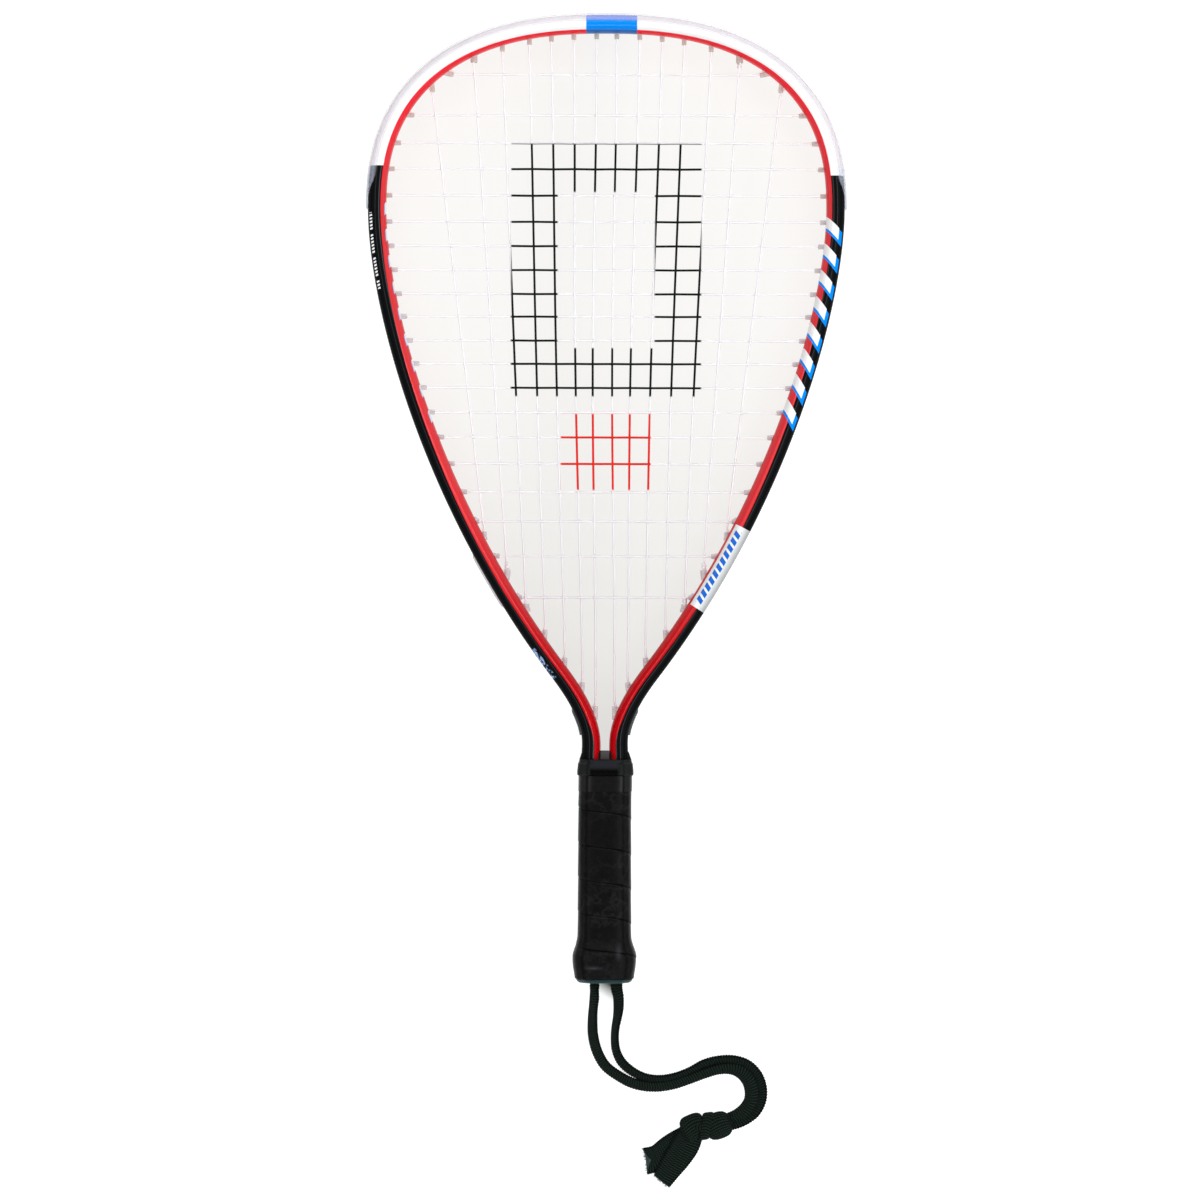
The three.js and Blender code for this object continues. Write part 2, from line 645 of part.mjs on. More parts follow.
// The bumper's section: a lip over each face of the frame, and a web in the groove.
function bumperOutline(height) {
  const edge = TUBE_HALF_WIDTH;
  const depth = tubeHalfDepth(height);
  const [lipShare, turnShare, turnDepthShare, sideShare] = BUMPER_SHARES;
  const [turnEdge, sideEdge] = TUBE_EDGE_SHARES;
  const skin = BUMPER_THICKNESS;
  const web = GROOVE_HALF - GAP;
  const over = [
    [edge - BUMPER_LAP, lipShare * depth + GAP],
    [edge - BUMPER_LAP + skin / 2, lipShare * depth + skin],
    [turnShare * edge + skin / 2, turnDepthShare * depth + skin],
    [edge + skin, sideShare * depth + skin / 2],
    [edge + skin, web - STRIP_THICKNESS],
    [STRIP_FOOT + STRIP_THICKNESS, web - STRIP_THICKNESS],
  ];
  const under = [
    [STRIP_FOOT, web],
    [edge + GAP, web],
    [edge + GAP, sideEdge[1] * depth + GAP / 2],
    [turnEdge[0] * edge + GAP, turnEdge[1] * depth + GAP],
  ];
  const below = (list) => list.map(([x, y]) => [x, -y]).reverse();
  return [...over, ...below(over), ...below(under), ...under].map(([x, y]) => new THREE.Vector2(x, y));
}

function bumperGuard() {
  const foot = lengthAtHeight(BUMPER_END, -1);
  const { total } = CENTRE_LINE;
  const stations = [...spread(foot, total / 2, BUMPER_STEPS), total / 2];
  const right = stations.slice(0, -1).map((l) => total - l).reverse();
  const base = loftAlong([...stations, ...right], bumperOutline);
  return withBarrels(base, ALL_HOLES.filter((h) => h.tip.y > BUMPER_END));
}

// Strings

const stringOutline = regularOutline(ROUND_SIDES, STRING_RADIUS);

function stringTip(hole, z) {
  return flat(hole.tip.clone().addScaledVector(hole.way, -BEND_LEAD), z);
}

// The stretch in the channel from one hole to the next, on the lane's side.
function channelRun(from, to, lane, zFrom, zTo) {
  const way = Math.sign(to.length - from.length);
  const first = from.length + way * CHANNEL_EASE;
  const last = to.length - way * CHANNEL_EASE;
  const steps = Math.max(1, Math.round(Math.abs(last - first) / CHANNEL_STEP));
  const run = spread(first, last, steps).map((l) => place(l, STRING_LEVEL, lane));
  return [
    place(from.length, STRING_LEVEL, zFrom),
    ...run,
    place(last, STRING_LEVEL, lane),
    place(to.length, STRING_LEVEL, zTo),
  ];
}

// A tied-off end: a knot just inside the hoop beside the shared hole's own string.
function tieOff(hole, z) {
  const start = stringTip(hole, z);
  const inward = flat(hole.way.clone().multiplyScalar(-1), 0);
  const off = Math.sign(z) * (KNOT_RADIUS - STRING_RADIUS);
  const centre = start.clone().addScaledVector(inward, KNOT_RADIUS).add(new THREE.Vector3(0, 0, off));
  const ball = new THREE.IcosahedronGeometry(KNOT_RADIUS, 1);
  ball.translate(centre.x, centre.y, centre.z);
  return { start: [centre, start], knot: solid(ball) };
}

// How far a main is off the middle of its hole: aside where it shares the hole with a tied end.
function mainOffset(hole) {
  if (!hole.tie) return 0;
  const besideMainEnd = MAIN_FEET[TIE_MAIN_INDEX].left === hole || MAIN_FEET[TIE_MAIN_INDEX].right === hole;
  return besideMainEnd ? -PAIR : PAIR;
}

// One half of the mains: up and down in turn from the middle outwards, and back to the tied main.
function mainHalf(side) {
  const points = [];
  const count = MAIN_TOPS.length;
  const ends = MAIN_TOPS.map((top, i) => (i % 2 === 0 ? [top, MAIN_FEET[i]] : [MAIN_FEET[i], top]));
  ends.forEach(([first, last], i) => {
    const from = first[side];
    const to = last[side];
    points.push(stringTip(from, mainOffset(from)), stringTip(to, mainOffset(to)));
    if (i + 1 === count) return;
    const next = ends[i + 1][0][side];
    points.push(...channelRun(to, next, LANE, mainOffset(to), mainOffset(next)));
  });
  const tieHole = MAIN_FEET[TIE_MAIN_INDEX][side];
  const { start, knot } = tieOff(tieHole, PAIR);
  points.push(...channelRun(MAIN_FEET[count - 1][side], tieHole, LANE, 0, PAIR), ...start.reverse());
  return { points, knot };
}

function mainString() {
  const left = mainHalf("left");
  const right = mainHalf("right");
  const over = channelRun(MAIN_TOPS[0].left, MAIN_TOPS[0].right, LANE, 0, 0);
  const points = [...left.points.reverse(), ...over, ...right.points];
  return joinAll([tube(points, stringOutline), left.knot, right.knot]);
}

// Where a main is at a height, across and above the string plane.
function mainAt(index, side, height) {
  const top = MAIN_TOPS[index][side];
  const foot = MAIN_FEET[index][side];
  const share = (height - foot.tip.y) / (top.tip.y - foot.tip.y);
  return { x: mix(foot.tip.x, top.tip.x, share), z: mix(mainOffset(foot), mainOffset(top), share) };
}

// Where one cross passes over and under the mains, from left to right.
function weave(row) {
  const { left, right } = CROSS_ENDS[row];
  const height = CROSS_HEIGHTS[row];
  const mains = [];
  MAIN_TOPS.forEach((_, i) => {
    for (const side of ["left", "right"]) {
      const { x, z } = mainAt(i, side, height);
      const reached = MAIN_FEET[i][side].tip.y < height && MAIN_TOPS[i][side].tip.y > height;
      if (reached && x > left.tip.x && x < right.tip.x) mains.push({ x, z, index: i, side });
    }
  });
  mains.sort((a, b) => a.x - b.x);
  const rise = STRING_DIAMETER + STRING_GAP;
  return mains.map((m) => {
    const order = m.side === "left" ? m.index : m.index + 1;
    const sign = (order + row) % 2 === 0 ? 1 : -1;
    return new THREE.Vector3(m.x, height, m.z + sign * rise);
  });
}

function crossString() {
  const points = [];
  const start = tieOff(MAIN_TOPS[TIE_MAIN_INDEX].right, -PAIR);
  points.push(...start.start);
  let hole = MAIN_TOPS[TIE_MAIN_INDEX].right;
  let offset = -PAIR;
  CROSS_ENDS.forEach((ends, row) => {
    const [near, far] = row % 2 === 0 ? [ends.right, ends.left] : [ends.left, ends.right];
    const woven = row % 2 === 0 ? weave(row).reverse() : weave(row);
    points.push(...channelRun(hole, near, -LANE, offset, 0));
    points.push(stringTip(near, 0), ...woven, stringTip(far, 0));
    hole = far;
    offset = 0;
  });
  const endHole = MAIN_FEET[TIE_CROSS_INDEX].right;
  const end = tieOff(endHole, -PAIR);
  points.push(...channelRun(hole, endHole, -LANE, 0, -PAIR), ...end.start.reverse());
  return joinAll([tube(points, stringOutline), start.knot, end.knot]);
}

// Handle

function octagon(halfWidth, halfDepth) {
  const cut = CORNER_SHARE * Math.min(halfWidth, halfDepth);
  const corners = [
    [halfWidth, cut - halfDepth],
    [halfWidth, halfDepth - cut],
    [halfWidth - cut, halfDepth],
    [cut - halfWidth, halfDepth],
  ];
  const others = corners.map(([x, y]) => [-x, -y]);
  return [...corners, ...others].map(([x, y]) => new THREE.Vector2(x, y));
}

// Octagons stacked up the handle: each entry is a height, a half width and a half depth.
function stack(levels) {
  const rings = levels.map(([height, width, depth]) =>
    octagon(width, depth).map((q) => new THREE.Vector3(q.x, height, q.y)),
  );
  return loft(rings, octagon(levels[0][1], levels[0][2]));
}

function stapleShape(grow) {
  const half = STAPLE_CROWN / 2 + grow;
  const wire = STAPLE_WIRE + 2 * grow;
  const leg = STAPLE_LEG + grow;
  const shape = new THREE.Shape([
    new THREE.Vector2(-half, grow),
    new THREE.Vector2(half, grow),
    new THREE.Vector2(half, -leg),
    new THREE.Vector2(half - wire, -leg),
    new THREE.Vector2(half - wire, grow - wire),
    new THREE.Vector2(wire - half, grow - wire),
    new THREE.Vector2(wire - half, -leg),
    new THREE.Vector2(-half, -leg),
  ]);
  return new THREE.ExtrudeGeometry(shape, { depth: wire, bevelEnabled: false });
}

// A staple's crown lies just under the cap's surface on the front (1) or back (-1).
function staple(face, grow) {
  const geometry = stapleShape(grow);
  geometry.rotateX(Math.PI / 2);
  const top = seatHalf(STAPLE_HEIGHT, CAP_HALF_DEPTH, PALLET_HALF_DEPTH) - GAP;
  geometry.translate(0, STAPLE_HEIGHT + (STAPLE_WIRE + 2 * grow) / 2, 0);
  const shape = new THREE.BufferGeometry();
  shape.setAttribute("position", geometry.getAttribute("position").clone());
  const positions = shape.getAttribute("position");
  for (let i = 0; i < positions.count; i += 1) {
    const z = positions.getZ(i) + top;
    positions.setZ(i, face * z);
  }
  return solid(shape);
}

function handleHalf(face) {
  const body = stack([
    [SPIGOT_END, SPIGOT_HALF_WIDTH, SPIGOT_HALF_DEPTH],
    [PALLET_SHOULDER, SPIGOT_HALF_WIDTH, SPIGOT_HALF_DEPTH],
    [PALLET_SHOULDER, PALLET_HALF_WIDTH, PALLET_HALF_DEPTH],
    [PALLET_TOP, PALLET_HALF_WIDTH, PALLET_HALF_DEPTH],
  ]);
  const reach = PALLET_HALF_WIDTH + OVERRUN;
  const parting = (face * GAP) / 2;
  const away = -face * reach;
  const other = block(
    [-reach, SPIGOT_END - OVERRUN, Math.min(parting, away)],
    [reach, PALLET_TOP + OVERRUN, Math.max(parting, away)],
  );
  return body
    .subtract(other)
    .subtract(tubeRoom(THROAT_HEIGHT + GROOVE_DEPTH, -1))
    .subtract(tubeRoom(THROAT_HEIGHT + GROOVE_DEPTH, 1))
    .subtract(staple(face, GAP));
}

// Half size of the surface under the tape at a height above the butt end.
function seatHalf(height, flared, plain) {
  if (height < CAP_FLARE_FOOT) {
    return flared * mix(CAP_SEAT_SHARE, 1, ramp(height, CAP_RIM, CAP_FLARE_FOOT));
  }
  return mix(flared, plain, ramp(height, CAP_FLARE_TOP, CAP_TOP));
}

function seatLevel(height) {
  return [
    height,
    seatHalf(height, CAP_HALF_WIDTH, PALLET_HALF_WIDTH),
    seatHalf(height, CAP_HALF_DEPTH, PALLET_HALF_DEPTH),
  ];
}

function slotRoom(side) {
  const outline = lacePlan(ANCHOR_WIDTH + 2 * SLOT_CLEAR, ANCHOR_HEIGHT + 2 * SLOT_CLEAR, 0);
  const x = side * SLOT_HALF;
  return tube([new THREE.Vector3(x, -OVERRUN, 0), new THREE.Vector3(x, CAP_WALL + OVERRUN, 0)], outline);
}

function buttCap() {
  const rim = CAP_RIM_SHARES.map((share, i) => [
    (CAP_RIM * i) / (CAP_RIM_SHARES.length - 1),
    share * CAP_HALF_WIDTH,
    share * CAP_HALF_DEPTH,
  ]);
  const flare = [CAP_RIM, (CAP_RIM + CAP_FLARE_FOOT) / 2, CAP_FLARE_FOOT, CAP_FLARE_TOP];
  const taper = CAP_TAPER_SHARES.map((share) => mix(CAP_FLARE_TOP, CAP_TOP, share));
  const outer = stack([...rim, ...[...flare, ...taper].map(seatLevel)]);
  const room = stack([
    [CAP_WALL, SPIGOT_HALF_WIDTH + GAP, SPIGOT_HALF_DEPTH + GAP],
    [CAP_TOP + OVERRUN, SPIGOT_HALF_WIDTH + GAP, SPIGOT_HALF_DEPTH + GAP],
  ]);
  return outer
    .subtract(room)
    .subtract(slotRoom(-1))
    .subtract(slotRoom(1))
    .subtract(staple(1, GAP))
    .subtract(staple(-1, GAP));
}

function throatCollar() {
  const outer = stack(
    COLLAR_HEIGHT_SHARES.map((share, i) => [
      mix(COLLAR_FOOT, COLLAR_TOP, share),
      COLLAR_WIDTH_SHARES[i] * COLLAR_HALF_WIDTH,
      COLLAR_WIDTH_SHARES[i] * COLLAR_HALF_DEPTH,
    ]),
  );
  const reach = COLLAR_HALF_WIDTH + OVERRUN;
  const faces = [-1, 1].map((face) => {
    const near = face * COLLAR_FACE_HALF_DEPTH;
    const far = face * reach;
    return block(
      [-reach, COLLAR_FACE_TOP, Math.min(near, far)],
      [reach, COLLAR_TOP + OVERRUN, Math.max(near, far)],
    );
  });
  const yokeRoom = block(
    [-TUBE_HALF_WIDTH, COLLAR_FOOT - OVERRUN, -YOKE_HALF_DEPTH - GAP],
    [TUBE_HALF_WIDTH, COLLAR_TOP + OVERRUN, YOKE_HALF_DEPTH + GAP],
  );
  return outer
    .subtract(joinAll(faces))
    .subtract(tubeRoom(COLLAR_TOP + OVERRUN, -1))
    .subtract(tubeRoom(COLLAR_TOP + OVERRUN, 1))
    .subtract(yokeRoom);
}

function throatYoke() {
  return block([-YOKE_HALF, COLLAR_FOOT, -YOKE_HALF_DEPTH], [YOKE_HALF, YOKE_TOP, YOKE_HALF_DEPTH]);
}

function finishingTape() {
  const grown = (by) => [PALLET_HALF_WIDTH + by, PALLET_HALF_DEPTH + by];
  const outer = stack([
    [BAND_FOOT, ...grown(WRAP)],
    [BAND_TOP, ...grown(WRAP)],
  ]);
  const room = stack([
    [BAND_FOOT - OVERRUN, ...grown(WRAP - BAND_THICKNESS)],
    [BAND_TOP + OVERRUN, ...grown(WRAP - BAND_THICKNESS)],
  ]);
  return outer.subtract(room);
}

// Grip tape: one ribbon wound up the handle, its lower end cut level with the butt and its
// upper end level under the finishing tape. Rings stand at the handle's corners.

function tapePoint(corner, height, out) {
  const seat = height > CAP_FLARE_TOP ? Math.max(height - TAPE_BRIDGE, CAP_FLARE_TOP) : height;
  const [, width, depth] = seatLevel(seat);
  const grow = TAPE_SEAT_GAP + out;
  const q = octagon(width + grow, depth + grow)[corner];
  return new THREE.Vector3(q.x, height, q.y);
}

function gripTape() {
  const count = octagon(1, 1).length;
  const rings = [];
  const edges = [];
  const turns = (TAPE_TOP - TAPE_FOOT) / TAPE_PITCH + 1;
  const steps = Math.floor(turns * TAPE_TURN_STEPS);
  const firstStep = Math.round(TAPE_PHASE_SHARE * TAPE_TURN_STEPS);
  const [skipped, left] = TAPE_END_STEPS;
  for (let step = skipped; step < steps - left; step += 1) {
    const rise = TAPE_FOOT - TAPE_PITCH + (step / TAPE_TURN_STEPS) * TAPE_PITCH;
    const low = Math.max(rise, TAPE_FOOT);
    const high = Math.min(rise + TAPE_PITCH - TAPE_SEAM, TAPE_TOP);
    const corner = (((step + firstStep) % count) + count) % count;
    const inner = [];
    const outer = [];
    for (let i = 0; i <= TAPE_WIDTH_STEPS; i += 1) {
      const height = mix(low, high, i / TAPE_WIDTH_STEPS);
      inner.push(tapePoint(corner, height, 0));
      outer.push(tapePoint(corner, height, TAPE_THICKNESS));
    }
    rings.push([...inner, ...outer.reverse()]);
    edges.push({ low, high });
  }
  const later = edges.slice(TAPE_TURN_STEPS);
  const seams = later.map((edge, i) => edge.low - edges[i].high);
  console.log("least gap between turns of the grip tape, mm", Math.min(...seams).toFixed(2));
  const ribbon = rings[0].map((p, i) => {
    const onInside = i <= TAPE_WIDTH_STEPS;
    const column = onInside ? i : 2 * TAPE_WIDTH_STEPS + 1 - i;
    return new THREE.Vector2(column, onInside ? 0 : 1);
  });
  return loft(rings, ribbon);
}

// Wrist cord

// The lace's section, turned by an angle from lying flat.
function lacePlan(width, thickness, turn) {
  return Array.from({ length: LACE_SIDES }, (_, i) => {
    const angle = (2 * Math.PI * (i + 0.5)) / LACE_SIDES;
    const q = new THREE.Vector2((width / 2) * Math.cos(angle), (thickness / 2) * Math.sin(angle));
    return q.rotateAround(new THREE.Vector2(), turn);
  });
}

// Half the height of a lace's section that is turned by an angle from lying flat.
function laceHalfHeight(width, thickness, turn) {
  return Math.max(...lacePlan(width, thickness, turn).map((q) => q.y));
}

// A lace along a route: each entry is across, along and height of its middle, width, thickness, turn.
// Its first section faces the way that it starts in.
function lace(route, start) {
  const middles = route.map(([x, y, z]) => new THREE.Vector3(x, y, z));
  const rings = route.map(([, , , width, thickness, turn], i) => {
    const before = middles[Math.max(i - 1, 0)];
    const after = middles[Math.min(i + 1, middles.length - 1)];
    const ahead = i === 0 ? start.clone() : after.clone().sub(before);
    ahead.normalize();
    const side = new THREE.Vector3().crossVectors(new THREE.Vector3(0, 0, 1), ahead).normalize();
    const rise = new THREE.Vector3().crossVectors(ahead, side);
    return lacePlan(width, thickness, turn).map((q) =>
      middles[i].clone().addScaledVector(side, q.x).addScaledVector(rise, q.y),
    );
  });
  return loft(rings, lacePlan(1, 1, 0));
}

// The strands' routes from just outside the butt end to the knot: across, height above the butt
// end. The heights give how far the first entries lie off the racket's axis as the lace falls to
// the table, and the rest lies on it. A share of 1 stands the lace on its edge, and 0 lays it flat.
const LEFT_ROUTE = [
  [-6.9, -8], [-7.4, -13.5], [-7.4, -22.3], [-6.8, -31.1], [-4.8, -39.9],
  [-0.3, -47.9], [6.7, -54.5], [15.5, -58.9], [23.4, -61.1], [31.4, -61.5], [40.2, -59.8],
  [49, -56.7], [57.8, -53.4], [66.7, -50.7], [73.2, -50.5], [78.1, -52.6], [81.6, -56.9],
  [83.2, -62], [83, -67.7], [80.4, -72.4], [76.6, -75.4], [72.7, -77.5],
];
const LEFT_HEIGHTS = [-0.5, -2.2, -6.2, -10.6, -13.2];
const LEFT_TURN_SHARES = [0.9, 0.7, 0.5, 0.45];
const RIGHT_ROUTE = [
  [7.2, -8], [7.6, -16.1], [6.4, -24.9], [5.8, -32.9], [6.6, -39.9],
  [9.6, -46.1], [15.5, -51], [23.4, -54], [31.4, -55], [40.2, -53.9], [49, -50.5],
  [57.8, -46.1], [66.7, -43.5], [73.7, -43.5], [81.6, -45.7], [87.9, -51.4], [90.9, -59.3],
  [90.5, -67.3], [87, -74.3], [81, -79.4], [74.3, -81.3],
];
const RIGHT_HEIGHTS = [-0.5, -3, -7, -10.6, -12.8];
const RIGHT_TURN_SHARES = [0.9, 0.75, 0.65];
const ROUND_SHARES = [0.25, 0.72, 1];

// The strand's start is rounded about the line that it swings on, so it turns clear of the butt.
function roundedStart(x) {
  const radius = ANCHOR_HEIGHT / 2;
  return ROUND_SHARES.map((share) => {
    const back = radius * (1 - Math.sqrt(1 - share * share));
    return [x, -GAP - back, 0, ANCHOR_HEIGHT * share, ANCHOR_WIDTH, Math.PI / 2];
  });
}

function strand(side, route, heights, turnShares) {
  const free = route.map(([x, y], i) => {
    const share = turnShares[Math.min(i, turnShares.length - 1)];
    const turn = (share * Math.PI) / 2;
    const rest = FLOOR + laceHalfHeight(LACE_WIDTH, LACE_THICKNESS, turn);
    const z = i < heights.length ? Math.max(heights[i], rest) : rest;
    return [x, y, z, LACE_WIDTH, LACE_THICKNESS, turn];
  });
  return lace([...roundedStart(side * SLOT_HALF), ...free], new THREE.Vector3(0, -1, 0));
}

function cordAnchorLoop() {
  const outline = lacePlan(ANCHOR_WIDTH, ANCHOR_HEIGHT, 0);
  const half = SLOT_HALF;
  const corner = CAP_WALL + ANCHOR_LEG;
  const points = [
    [-half, 0],
    [-half, corner],
    [-half / 2, ANCHOR_RISE],
    [half / 2, ANCHOR_RISE],
    [half, corner],
    [half, 0],
  ].map(([x, y]) => new THREE.Vector3(x, y, 0));
  return tube(points, outline);
}

function cordKnot() {
  const lobes = KNOT_CENTRES.map(([x, y], i) => {
    const [width, depth, height] = KNOT_HALF_SIZES[i];
    const geometry = new THREE.SphereGeometry(1, KNOT_SIDES, KNOT_RINGS);
    geometry.rotateX(Math.PI / 2);
    geometry.scale(width, depth, height);
    geometry.translate(x, y, FLOOR + height);
    return solid(geometry);
  });
  return joinAll(lobes);
}

// The two cut ends of the lace leave the knot narrow and spread out. The front one lies on the
// back one.
const TAIL_FRONT_ROUTE = [
  [53.2, -88], [50, -93.6], [44.9, -100.2], [39.2, -107], [32.8, -114.4],
];
const TAIL_BACK_ROUTE = [
  [47, -85.6], [41, -90.2], [34.4, -95], [28.6, -99.3], [23, -103.4],
];
const TAIL_SPREAD_SHARES = [0.62, 0.85, 1, 1, 1];

const towardsViewer = new THREE.Vector3(0, -1, 0);
const aslant = new THREE.Vector3(-1, -1, 0);

function tail(route, lift, start) {
  const rest = FLOOR + laceHalfHeight(TAIL_WIDTH, TAIL_THICKNESS, 0) + lift;
  return lace(
    route.map(([x, y], i) => [x, y, rest, TAIL_SPREAD_SHARES[i] * TAIL_WIDTH, TAIL_THICKNESS, 0]),
    start,
  );
}

// Materials

function material(color, roughness, metalness) {
  return new THREE.MeshStandardMaterial({ color, roughness, metalness });
}

const lacquer = material(0x0b0b0d, 0.18, 0);
const clearPlastic = material(0xd9d3d6, 0.3, 0);
const stringPlastic = material(0xf2f2ee, 0.28, 0);
const rubber = material(0x24272b, 0.75, 0);
const tackyTape = material(0x0d0e10, 0.55, 0);
const bandFilm = material(0x090909, 0.2, 0);
const foam = material(0x2b2b2b, 0.85, 0);
const capPlastic = material(0x0f2a2c, 0.45, 0);
const steel = material(0xb8bcc0, 0.35, 1);
const laceFabric = material(0x16221c, 0.95, 0);
const greyPlastic = material(0x504b4b, 0.6, 0);

const racket = new THREE.Group();
racket.position.set(0, -LENGTH / 2, AXIS_HEIGHT);

function add(name, body, finish) {
  const mesh = new THREE.Mesh(geometryOf(body), finish);
  mesh.name = name;
  racket.add(mesh);
}

add("frame_tube", frameTube(), lacquer);
add("bumper_guard", bumperGuard(), clearPlastic);
add("grommet_strip_left", grommetStrip(-1), clearPlastic);
add("grommet_strip_right", grommetStrip(1), clearPlastic);
add("main_string", mainString(), stringPlastic);
add("cross_string", crossString(), stringPlastic);
add("throat_yoke", throatYoke(), greyPlastic);
add("throat_collar", throatCollar(), rubber);
add("handle_half_front", handleHalf(1), foam);
add("handle_half_back", handleHalf(-1), foam);
add("butt_cap", buttCap(), capPlastic);
add("butt_staple_front", staple(1, 0), steel);
add("butt_staple_back", staple(-1, 0), steel);
add("grip_tape", gripTape(), tackyTape);
add("finishing_tape", finishingTape(), bandFilm);
add("cord_anchor_loop", cordAnchorLoop(), laceFabric);
add("cord_strand_left", strand(-1, LEFT_ROUTE, LEFT_HEIGHTS, LEFT_TURN_SHARES), laceFabric);
add("cord_strand_right", strand(1, RIGHT_ROUTE, RIGHT_HEIGHTS, RIGHT_TURN_SHARES), laceFabric);
add("cord_knot", cordKnot(), laceFabric);
add("cord_tail_front", tail(TAIL_FRONT_ROUTE, TAIL_THICKNESS + GAP, towardsViewer), laceFabric);
add("cord_tail_back", tail(TAIL_BACK_ROUTE, 0, aslant), laceFabric);

export default racket;
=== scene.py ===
"""A racquetball racket on a white table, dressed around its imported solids."""
import math
import random

import bmesh
import bpy
import numpy as np
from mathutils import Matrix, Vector

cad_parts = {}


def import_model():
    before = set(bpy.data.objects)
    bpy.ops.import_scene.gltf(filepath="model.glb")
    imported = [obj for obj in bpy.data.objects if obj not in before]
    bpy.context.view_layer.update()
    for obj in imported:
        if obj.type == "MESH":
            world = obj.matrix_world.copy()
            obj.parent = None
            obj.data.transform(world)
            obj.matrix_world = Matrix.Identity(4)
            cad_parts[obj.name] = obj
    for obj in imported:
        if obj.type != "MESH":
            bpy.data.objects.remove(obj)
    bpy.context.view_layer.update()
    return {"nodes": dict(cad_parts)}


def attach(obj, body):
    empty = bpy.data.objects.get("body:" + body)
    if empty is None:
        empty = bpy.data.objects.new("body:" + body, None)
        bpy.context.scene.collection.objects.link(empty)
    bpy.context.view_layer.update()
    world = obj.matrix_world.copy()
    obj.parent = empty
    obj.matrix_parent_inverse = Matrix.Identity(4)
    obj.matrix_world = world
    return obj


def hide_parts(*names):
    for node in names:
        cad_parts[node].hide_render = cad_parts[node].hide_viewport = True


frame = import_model()

# The racket's own frame, in millimetres: across, height above the butt end, height above the strings
MM = 0.001
LENGTH = 559.0
AXIS_HEIGHT = 16.7
FLOOR = -AXIS_HEIGHT
GAP = 0.3
UP = np.array([0.0, 0.0, 1.0])

# Photograph: the scale in the strings' plane, and where its middle is
PIXEL = 0.5776
IMAGE_SIZE = (1200, 1201)
VIEW_MIDDLE = (-3.05, 220.2)
VIEW_ROLL = math.radians(0.155)
SENSOR = 36.0
LENS = 140.0
VIEW_DISTANCE = PIXEL * IMAGE_SIZE[1] * LENS / SENSOR

# Frame tube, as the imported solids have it
BUMPER_THICKNESS = 1.2
TUBE_HALF_WIDTH = 5.25
TUBE_HALF_WIDTH_TOP = 4.8
TUBE_HALF_WIDTH_THROAT = 5.1
TUBE_HALF_WIDTH_SHAFT = 4.0
TUBE_HALF_DEPTH = 10.0
TUBE_HALF_DEPTH_SHAFT = 8.4
HEAD_TOP = LENGTH - BUMPER_THICKNESS - TUBE_HALF_WIDTH
HEAD_HALF = 132.25
HEAD_WIDEST = HEAD_TOP - 106.55
HEAD_ROUNDNESS = 2.42
TUBE_SLIM_START = HEAD_TOP - 47.5
LIMB = (26.6, 178.9)
LIMB_ANGLE = 0.65
THROAT = (8.0, 131.0)
SHAFT_HALF = 7.1
SHAFT_TOP = 116.0
SHAFT_END = 31.0
SIDE_REACH_SHARES = (0.44, 0.18)
THROAT_REACH_SHARES = (0.156, 0.7)
GROOVE_HALF = 3.8
GROOVE_DEPTH = 2.7
GROOVE_DEPTH_SHAFT = 0.5
GROOVE_START = 138.0
GROOVE_FULL = 150.0
FOOT_SWELL = 0.35
FOOT_SWELL_RUN = 25.0
TUBE_SIDE_SHARE = 0.58
TUBE_SHOULDER = (0.7, 0.84)
TUBE_CUTS = (2.4, 2.0, 0.9, 0.35, 2.0, 1.2, 0.35, 0.3)
FRAME_STEP = 1.6
LINE_POINTS = 240
AHEAD_REACH = 5

# Strings, their holes and barrels
STRING_RADIUS = 0.65
STRIP_THICKNESS = 0.8
STRIP_FOOT = TUBE_HALF_WIDTH - GROOVE_DEPTH + GAP
STRING_LEVEL = STRIP_FOOT + STRIP_THICKNESS + GAP + STRING_RADIUS
LANE = 1.9
PAIR = 0.75
MAIN_TOP_SHARES = (0.044, 0.144, 0.242, 0.338, 0.456, 0.58, 0.76)
MAIN_FOOT_SHARES = (0.041, 0.098, 0.175, 0.262, 0.346, 0.429, 0.529)
CROSS_SHARES = (
    0.923, 0.86, 0.817, 0.777, 0.736, 0.6955, 0.658, 0.621, 0.584, 0.549,
    0.512, 0.476, 0.439, 0.401, 0.3625, 0.3215, 0.278, 0.2325, 0.179, 0.115,
)
CROSS_HEIGHTS = [LIMB[1] + (HEAD_TOP - LIMB[1]) * share for share in CROSS_SHARES]
SHORT_CROSS_INDEXES = (17, 19)
SHORT_MAIN_INDEXES = (4, 6)
TIE_MAIN_INDEX = 5
TIE_CROSS_INDEX = 4
HOLE_LEAN_SHARE = 0.15
MAIN_WAVE = 0.55
CROSS_WAVE = 0.85
SAG = 2.2
SAG_FOOT = 170.0
SAG_TOP = 540.0
SAG_HALF_WIDTH = 70.0
SAG_FADE = 6
STRING_SIDES = 10
TIP_OVERLAP = 0.6
CHANNEL_LEAD = 2.6
CHANNEL_STEP = 6.0
BEND_SHARE = 0.45
BEND_MOST = 2.2
KNOT_REACH = 1.4
KNOT_TURNS = 2.6
KNOT_RADIUS = 0.95
KNOT_LENGTH = 2.2
KNOT_STRING_RADIUS = 0.6
BARREL_REACH = 3.3
BARREL_REACH_LOW = 2.5
BARREL_REACH_SHORT = 1.5
LOW_CROSS = 250.0
HIGH_CROSS = 400.0
BARREL_RADIUS = 1.4
BARREL_RADIUS_TIE = 2.0
BARREL_BORE = STRING_RADIUS + 0.15
BARREL_BORE_TIE = 1.7
BARREL_SLIDE = 3.0
BARREL_SLIDE_LAST = 5.0
LAST_BARREL_TOP = 172.0
BARREL_SIDES = 14
BARREL_STEPS = 9
BARREL_INSIDE = 3.0
